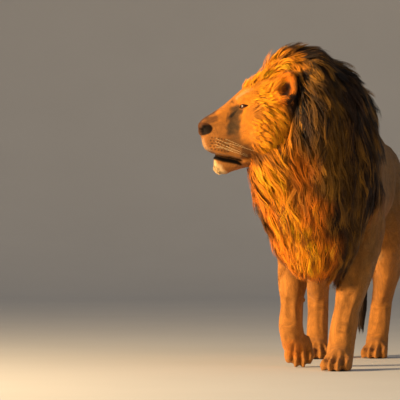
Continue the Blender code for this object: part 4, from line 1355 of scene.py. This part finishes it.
def strands(name, mesh, count, guides, where, long, off_surface, rise, depth, wide, steps=5,
            cling=0.45, wave=0.009, stray=0.28, mane=1.0, roots_dark=0.35, uneven=0.8,
            hang=0.0, gilded=0.0, streaks=0.0, clear=None, replaced=()):
    """Locks of long hair gathered in strands, over the part of a mesh where where(points) is true.

    long(points) is the length, rise the mean and the spread of the tips' distance from the
    surface, depth(points) how far inside it the roots lie. wave is how far a strand of 15 cm
    swings from side to side, as a sine of its length. Colours run from dark roots to the tips:
    partly the hair's own darker roots, partly painted shade deep in the thatch.
    In the share of the strands that is gilded, the tips have bleached to gold, and the share that
    is streaks is nearly dark. mane is the share of the long hair's own colours, roots_dark the
    shade at the roots, and uneven how far the strands differ in shade. cling and hang go to grow.
    Locks that would run where clear(points) is true are left out.
    """
    roots, first = sow(mesh, count, where), sow(mesh, guides, where)
    owner = nearest(roots, first)
    guide_length = long(first) * (0.8 + 0.45 * dice.random(guides))
    guide_stray = dice.normal(0, stray, guides)
    guide_rise = dice.normal(rise[0], rise[1], guides)
    leaders = grow(first, guide_length, -depth(first), guide_rise, off_surface, steps,
                   guide_stray, cling, hang)
    length = guide_length[owner] * (0.75 + 0.5 * dice.random(count))
    ends = guide_rise[owner] + dice.normal(0, rise[1] * 0.6, count)
    inside = -depth(roots) * (0.4 + 0.6 * dice.random(count))
    paths = grow(roots, length, inside, ends, off_surface, steps,
                 guide_stray[owner] + dice.normal(0, stray * 0.4, count), cling, hang)
    paths = clump(paths, leaders, owner, 0.5 + 0.45 * dice.random(count))
    middle_way = paths[:, steps // 2]
    outward = off_surface(middle_way)[1]
    share = np.linspace(0, 1, steps + 1)[None, :]
    phase = (dice.random(guides) * 6.28)[owner][:, None]
    swing = wave * share * np.sin(phase + share * length[:, None] / WAVE_PITCH)
    swing = swing * (length[:, None] / 0.15)
    side = np.cross(flattened(comb(middle_way), outward), outward)
    paths = paths + side[:, None, :] * swing[..., None]
    if clear:
        free = ~clear(paths.reshape(-1, 3)).reshape(count, -1).any(axis=1)
        paths, outward, owner, count = paths[free], outward[free], owner[free], int(free.sum())
    flat = paths.reshape(-1, 3)
    colour = coat_colour(flat, np.full(len(flat), mane)).reshape(count, -1, 3)
    bleached = (BLEACHED * (dice.random(guides) < gilded))[owner][:, None, None] * share[..., None] ** 1.2
    colour = colour + bleached * (np.maximum(PAINT["olive"] * 2.0, colour) - colour)
    shade = 1 - uneven / 2 + uneven * dice.random(guides)
    shade = np.where(dice.random(guides) < streaks, STREAK_SHADE, shade)[owner]
    shade = shade * (0.8 + 0.4 * dice.random(count))
    # dark roots and bright tips: partly the hair's own, partly painted shade deep in the thatch
    ramp = roots_dark + (TIP_SHADE - roots_dark) * share ** 0.7
    colour = colour * shade[:, None, None] * ramp[..., None]
    colour = np.minimum(colour, 0.95)
    width = wide * (0.7 + 0.6 * dice.random(count))
    return blades(name, paths, outward, width, width * 0.36, colour, hair_finish, replaced)


hair_finish = fur_material("long_hair", 700.0, 0.30, 0.6, 0.6)[0]

# %% [markdown]
# ## The mane
# Locks are shortest round the face, shorter on the crest than on the neck, and longest on neck
# and chest, where they leave the form and hang as a fringe. No hair crosses the ears' hollows.

# %% Grow the mane
def over_ear_hollow(points):
    """True in front of the ears' hollows, where no hair hangs."""
    return line_distance(mirrored(points), (0.333, 0.115, 0.141), (0.310, 0.185, 0.150)) < 0.023


MANE = ["mane_crown", "mane_left", "mane_right", "mane_chest"]
mane_shell = joined_copy("mane_shell", MANE)


def on_outside(points):
    """True on the outside of the mane solids, so not where they meet flesh."""
    return off_shell(points)[0] > -0.006


def mane_length(points):
    """Length of the mane's hair: 15.5 cm on neck and chest, 7 round the face, 10 on the crest."""
    place = mirrored(points)
    round_face = 1 - soft_step(place[:, 0], 0.24, 0.40)
    crest = soft_step(points[:, 2], 1.02, 1.16)
    return (0.155 - 0.085 * round_face * soft_step(place[:, 2], -0.25, -0.05)
            - 0.055 * crest * (1 - round_face))


def wool_room(points):
    """How deep roots may lie: down to the skin, or well into the wool."""
    room = off_skin(points)[0] - off_shell(points)[0]
    return np.clip(room - 0.001, 0.001, WOOL_DEPTH - 0.004)


def off_limits(points):
    """True over the ears' hollows and below the bib, where its hair would curl inwards."""
    return over_ear_hollow(points) | (points[:, 2] < 0.34)


def low_on_chest(points):
    """True on the lower half of the bib, but for its end."""
    return on_outside(points) & (points[:, 2] < 0.60) & (points[:, 2] > 0.42)


def over_elbow(points):
    """True where the mane ends over the shoulder and the top of the left foreleg."""
    return on_outside(points) & (line_far(points - HOME, [
        (0.36, -0.42, 0.76), (0.29, -0.54, 0.64), (0.21, -0.64, 0.50)]) < 0.065)


strands("mane_hair", mane_shell.data, 27000, 2400, on_outside, mane_length, off_shell,
        (0.002, 0.009), wool_room, 0.0037, cling=0.35, hang=0.25, gilded=0.45, streaks=0.22,
        roots_dark=0.55, uneven=0.8, clear=off_limits, replaced=MANE)
strands("mane_fringe", mane_shell.data, 2600, 240, low_on_chest, evenly(0.085),
        off_shell, (0.006, 0.006), wool_room, 0.0030, cling=0.05, hang=0.75, gilded=0.3, streaks=0.25,
        roots_dark=0.6, replaced=MANE)
strands("mane_wisps", mane_shell.data, 1700, 700, on_outside, mane_length, off_shell,
        (0.010, 0.007), wool_room, 0.0024, cling=0.1, hang=0.35, stray=0.35, gilded=0.3,
        clear=over_ear_hollow, replaced=MANE)
strands("elbow_fringe", mane_shell.data, 1800, 130, over_elbow, evenly(0.150),
        off_shell, (0.008, 0.006), wool_room, 0.0030, cling=0.05, hang=0.65, gilded=0.6,
        roots_dark=0.6, replaced=MANE)
bpy.data.objects.remove(mane_shell)

# %% [markdown]
# ## The short coat
# On the body the hair lies so flat that its grain and bump do most of the work. Small tufts break
# the smooth form all over: they are a couple of centimetres on the trunk, less on legs and paws,
# and a few millimetres on the face.


# %% Grow the short coat
def off_mane(points):
    """True where the skin lies near the shell, so where no mane covers it."""
    return off_shell(points)[0] > -0.016


def short_coat(name, count, where, long, wide, lift, spread, steps=2):
    """Tufts over part of the skin.

    long(points) gives their length, wide(points) their width, and lift(points) how far their tips
    stand off the skin. spread is how much they stray sideways.
    """
    roots = sow(skin.data, count, where)
    out = off_skin(roots)[1]
    size = long(roots) * (0.7 + 0.6 * dice.random(count))
    paths = grow(roots, size, np.full(count, -0.0012), lift(roots) * (0.5 + dice.random(count)),
                 off_skin, steps, dice.normal(0, spread, count))
    flat = paths.reshape(-1, 3)
    colour = coat_colour(flat, np.zeros(len(flat))).reshape(count, -1, 3)
    colour = colour * (0.90 + 0.20 * dice.random(count))[:, None, None]
    width = wide(roots) * (0.7 + 0.6 * dice.random(count))
    return blades(name, paths, out, width, width * 0.20, colour, tuft_finish)


def fur_on_face(points):
    """Where the face has hair: not on the leather, the lips, or the lids."""
    place = mirrored(points)
    away, far = off_eye(place)
    clear_of_eye = (far > 0.035) | (almond(away / far[:, None]) > 1.55)
    over_lip = place[:, 2] - lip_height(place[:, 0])
    clear_of_lips = ((over_lip > 0.008) | (over_lip < -0.024)) | (place[:, 0] > 0.170)
    return ((face_share(points) > 0.5) & clear_of_eye & (leather_share(place) < 0.3)
            & clear_of_lips & off_mane(points))


def face_length(points):
    """4 mm at the nose, 11 mm on the brow, 24 mm at the back of the cheek."""
    place = mirrored(points)
    return (0.0042 + 0.007 * soft_step(place[:, 0], 0.02, 0.18)
            + 0.014 * soft_step(place[:, 0], 0.20, 0.30))


tuft_finish = fur_material("tufts", 700.0, 0.32, 0.4, 0.7)[0]
short_coat("face_fur", 15000, fur_on_face, face_length,
           lambda p: 0.0013 + 0.0013 * soft_step(mirrored(p)[:, 0], 0.05, 0.25),
           lambda p: 0.0008 + 0.002 * soft_step(mirrored(p)[:, 0], 0.16, 0.30), 0.15)
short_coat("body_fur", 18500, lambda p: (face_share(p) < 0.5) & off_mane(p),
           lambda p: 0.012 + 0.012 * soft_step(p[:, 2], 0.06, 0.6),
           lambda p: 0.0016 + 0.0014 * soft_step(p[:, 2], 0.06, 0.6),
           lambda p: 0.0009 + 0.0006 * soft_step(p[:, 2], 0.06, 0.6), 0.15)

# %% [markdown]
# The cheeks grow a ruff that lengthens from the eye back, and overlaps the mane. The hairline of
# the forehead stands up a little, and the ears carry longer hair at their base and rims.


# %% Ruff, forehead, ears and chin
def on_ruff(points):
    """More and more from the cheek back to the mane's edge."""
    place = mirrored(points)
    share = soft_step(place[:, 0], 0.185, 0.235) * (1 - soft_step(place[:, 2], 0.13, 0.17))
    return share * (place[:, 0] < 0.40) * (off_shell(points)[0] > -0.030) * (place[:, 2] > -0.2)


def ruff_length(points):
    """2 cm on the cheek, 6 cm at the back."""
    return 0.018 + 0.042 * soft_step(mirrored(points)[:, 0], 0.20, 0.31)


def on_ear(points):
    """The rim and the base of the ears, but not the hollow."""
    place = mirrored(points)
    hollow = line_distance(place, (0.331, 0.122, 0.130), (0.333, 0.124, 0.158)) < 0.021
    return (np.linalg.norm(place - [0.322, 0.114, 0.146], axis=1) < 0.066) & ~hollow


def on_forehead(points):
    """The hairline in front of the crown."""
    place = mirrored(points)
    near_line = line_distance(place, (0.215, 0.0, 0.185), (0.285, 0.03, 0.225)) < 0.055
    return near_line & (place[:, 1] < 0.075)


def on_chin(points):
    """The tuft under the chin."""
    return np.linalg.norm(mirrored(points) - [0.050, 0.0, -0.175], axis=1) < 0.028


shallow = evenly(0.0015)       # roots just under the skin
strands("cheek_ruff", skin.data, 5200, 420, on_ruff, ruff_length, off_skin, (0.009, 0.004), shallow,
        0.0022, steps=4, stray=0.16, wave=0.006, roots_dark=0.85, uneven=0.5, clear=over_ear_hollow)
strands("forehead_hair", skin.data, 1700, 150, on_forehead,
        lambda p: 0.022 + 0.030 * soft_step(mirrored(p)[:, 0], 0.19, 0.28), off_skin, (0.014, 0.006),
        shallow, 0.0020, steps=4, cling=0.2, stray=0.2, wave=0.006, roots_dark=0.7, uneven=0.5,
        clear=over_ear_hollow)
strands("ear_hair", skin.data, 1500, 160, on_ear, evenly(0.026), off_skin,
        (0.005, 0.003), shallow, 0.0016, steps=3, cling=0.15, mane=0.0, roots_dark=0.7, uneven=0.4,
        clear=over_ear_hollow)
strands("chin_hair", skin.data, 800, 90, on_chin, evenly(0.015), off_skin,
        (0.004, 0.002), shallow, 0.0012, steps=3, cling=0.2, mane=0.0, roots_dark=0.95, uneven=0.1)

# %% [markdown]
# The tail ends in a dark tassel, much like a paint brush: long locks rooted round the end of the
# tail, all running down past it. They bulge out and come together again at the tips.

# %% Tassel of the tail
TASSEL, TASSEL_POINTS = 1500, 6
low, high = np.array(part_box("tail_tuft"))
centre = (low + high) / 2
up_tail = dice.random(TASSEL) ** 0.8
turn = dice.random(TASSEL) * 2 * math.pi
around = np.stack([np.cos(turn), np.sin(turn), np.zeros(TASSEL)], axis=1)
top = high[2] + 0.02
roots = np.stack([np.full(TASSEL, centre[0]), np.full(TASSEL, centre[1] + 0.012),
                  top - up_tail * (high[2] - low[2]) * 0.55], axis=1) + around * 0.008
outer = dice.random(TASSEL)
long = 0.145 - 0.085 * outer + 0.02 * dice.random(TASSEL)
share = np.linspace(0, 1, TASSEL_POINTS)[None, :, None]
swell = np.sin(np.clip(share * 2.2, 0, math.pi / 2)) * (1 - 0.75 * share)
paths = (roots[:, None] - UP * long[:, None, None] * share
         + around[:, None] * (0.008 + 0.026 * outer)[:, None, None] * swell)
colour = coat_colour(paths.reshape(-1, 3), np.zeros(TASSEL * TASSEL_POINTS)).reshape(TASSEL, -1, 3)
colour = colour * (0.7 + 0.9 * dice.random(TASSEL))[:, None, None]
blades("tail_tassel", paths, around, 0.004 + 0.002 * dice.random(TASSEL), np.full(TASSEL, 0.0014),
       colour, hair_finish, ["tail_tuft"])

# %% [markdown]
# ## Whiskers
# Whiskers grow from the dark spots of the upper lip. Each is a stiff tapering blade that sweeps
# back and droops a little, as a parabola.

# %% Whiskers
WHISKER_WAY = (0.62, 0.62, -0.22)       # behind, sideways, above
WHISKER_POINTS = 8

spots = np.array([[FIRST_WHISKER + WHISKER_STEP * step, 0.050, row - 0.002 * step]
                  for row in ROW_HEIGHTS[:4] for step in (1, 4)])
spots = np.concatenate([spots, spots * [1, -1, 1]])
hand = np.sign(spots[:, 1])[:, None]
roots = from_head(spots)
distance, out = off_skin(roots)
roots = roots - out * (distance + 0.001)[:, None]
long = (0.07 + 0.06 * dice.random(len(roots)))[:, None, None]
out_way = from_head(np.array(WHISKER_WAY) * np.where([True, False, True], 1, hand)) - NOSE
out_way = out_way + dice.normal(0, 0.16, out_way.shape)
out_way /= np.linalg.norm(out_way, axis=1)[:, None]
share = np.linspace(0, 1, WHISKER_POINTS)[None, :, None]
back_way = -AHEAD * 0.35 - UP * 0.18
paths = roots[:, None] + long * (out_way[:, None] * share + back_way * share ** 2)
colour = np.tile(PAINT["pale"], (len(roots), WHISKER_POINTS, 1))
blades("whiskers", paths, out, np.full(len(roots), 0.0008), np.full(len(roots), 0.0007),
       colour, tuft_finish)

# %% [markdown]
# ## Floor, light and camera
# The lion stands on a plain pale floor, as a model in a museum would. The floor curves up all
# round like a studio's, and its outside is clear, so that the lion is seen from every side. A warm
# lamp low on the left stands in for a late sun, a weak cool one fills from the right, and the
# camera looks from a long way off, so that nothing near it is drawn larger.

# %% Floor
FLAT_RADIUS, RIM_RADIUS = 9.0, 6.0        # a round studio: flat, then curving up all round
rim_turn = np.linspace(0, 1.35, 25)
ring_far = np.concatenate([[0.5, 3.0, 6.0], FLAT_RADIUS + RIM_RADIUS * np.sin(rim_turn)])
ring_up = np.concatenate([[0.0, 0.0, 0.0], RIM_RADIUS * (1 - np.cos(rim_turn))])
turn = np.linspace(0, 2 * math.pi, 96, endpoint=False)
x, y = ring_far[:, None] * np.cos(turn), ring_far[:, None] * np.sin(turn)
index = np.arange(x.size).reshape(x.shape)
following = np.roll(index, -1, axis=1)
quads = np.stack([index[:-1], index[1:], following[1:], following[:-1]], axis=-1).reshape(-1, 4)
floor_points = np.stack([x.ravel(), y.ravel(), np.repeat(ring_up, len(turn))], axis=1)
floor = object_from("floor", floor_points, quads.tolist() + [index[0].tolist()])
finish, tree, shader = new_material("pale_floor")
cloud = node(tree, "ShaderNodeTexNoise", Scale=1.5, Detail=4.0)
place_node = node(tree, "ShaderNodeTexCoord")
tone = node(tree, "ShaderNodeMapRange", To_Min=0.60, To_Max=0.66)
tree.links.new(place_node.outputs["Object"], cloud.inputs["Vector"])
tree.links.new(cloud.outputs["Fac"], tone.inputs["Value"])
blend = node(tree, "ShaderNodeCombineColor")
for name in ("Red", "Green", "Blue"):
    tree.links.new(tone.outputs[0], blend.inputs[name])
tree.links.new(blend.outputs[0], shader.inputs["Base Color"])
fill_in(shader, Roughness=0.8)
which_side = node(tree, "ShaderNodeNewGeometry")
clear_side = node(tree, "ShaderNodeBsdfTransparent")
one_sided = node(tree, "ShaderNodeMixShader")
tree.links.new(which_side.outputs["Backfacing"], one_sided.inputs["Fac"])
tree.links.new(shader.outputs[0], one_sided.inputs[1])
tree.links.new(clear_side.outputs[0], one_sided.inputs[2])
tree.links.new(one_sided.outputs[0], tree.nodes["Material Output"].inputs["Surface"])
floor.data.materials.append(finish)
floor.data.polygons.foreach_set("use_smooth", np.ones(len(floor.data.polygons), dtype=bool))


# %% Light
def lamp(name, where, power, size, colour):
    """A square lamp that faces the lion's chest."""
    light = bpy.data.lights.new(name, "AREA")
    light.energy, light.size, light.color = power, size, colour
    thing = new_object(name, light)
    thing.location = where
    aim = np.array([0.0, -0.3, 0.7]) - where
    thing.rotation_euler = (math.acos(-aim[2] / np.linalg.norm(aim)), 0,
                            math.atan2(aim[1], aim[0]) - math.pi / 2)
    return thing


lamp("late_sun", np.array([-5.5, -3.7, 2.3]), 1080, 1.4, (1.0, 0.71, 0.38))
lamp("sky_fill", np.array([4.5, -4.5, 4.0]), 40, 4.0, (0.85, 0.92, 1.0))
world = bpy.data.worlds.new("studio")
bpy.context.scene.world = world
world.use_nodes = True
fill_in(world.node_tree.nodes["Background"], Color=(0.86, 0.88, 0.92, 1), Strength=0.20)
bpy.context.scene.view_settings.view_transform = "Standard"

# %% Camera
CAMERA_AZIMUTH, CAMERA_HEIGHT, CAMERA_DISTANCE = math.radians(7.0), math.radians(0.4), 18.0
SEEN_WIDTH, SEEN_AHEAD = 1.6, 0.6     # the frame is this wide, this far in front of the target
SENSOR = 36
back = np.array([math.sin(CAMERA_AZIMUTH) * math.cos(CAMERA_HEIGHT),
                 -math.cos(CAMERA_AZIMUTH) * math.cos(CAMERA_HEIGHT), math.sin(CAMERA_HEIGHT)])
right = np.array([math.cos(CAMERA_AZIMUTH), math.sin(CAMERA_AZIMUTH), 0.0])
target = HOME + [0.1313, 0.0746, 0.670] - right * 0.586
camera = new_object("camera", bpy.data.cameras.new("camera"))
camera.location = target + back * CAMERA_DISTANCE
camera.rotation_euler = (math.pi / 2 - CAMERA_HEIGHT, 0, CAMERA_AZIMUTH)
camera.data.sensor_width = SENSOR
camera.data.lens = SENSOR * (CAMERA_DISTANCE - SEEN_AHEAD) / SEEN_WIDTH
camera.data.clip_start, camera.data.clip_end = 0.1, 60
bpy.context.scene.camera = camera
print("lens", round(camera.data.lens), "mm")
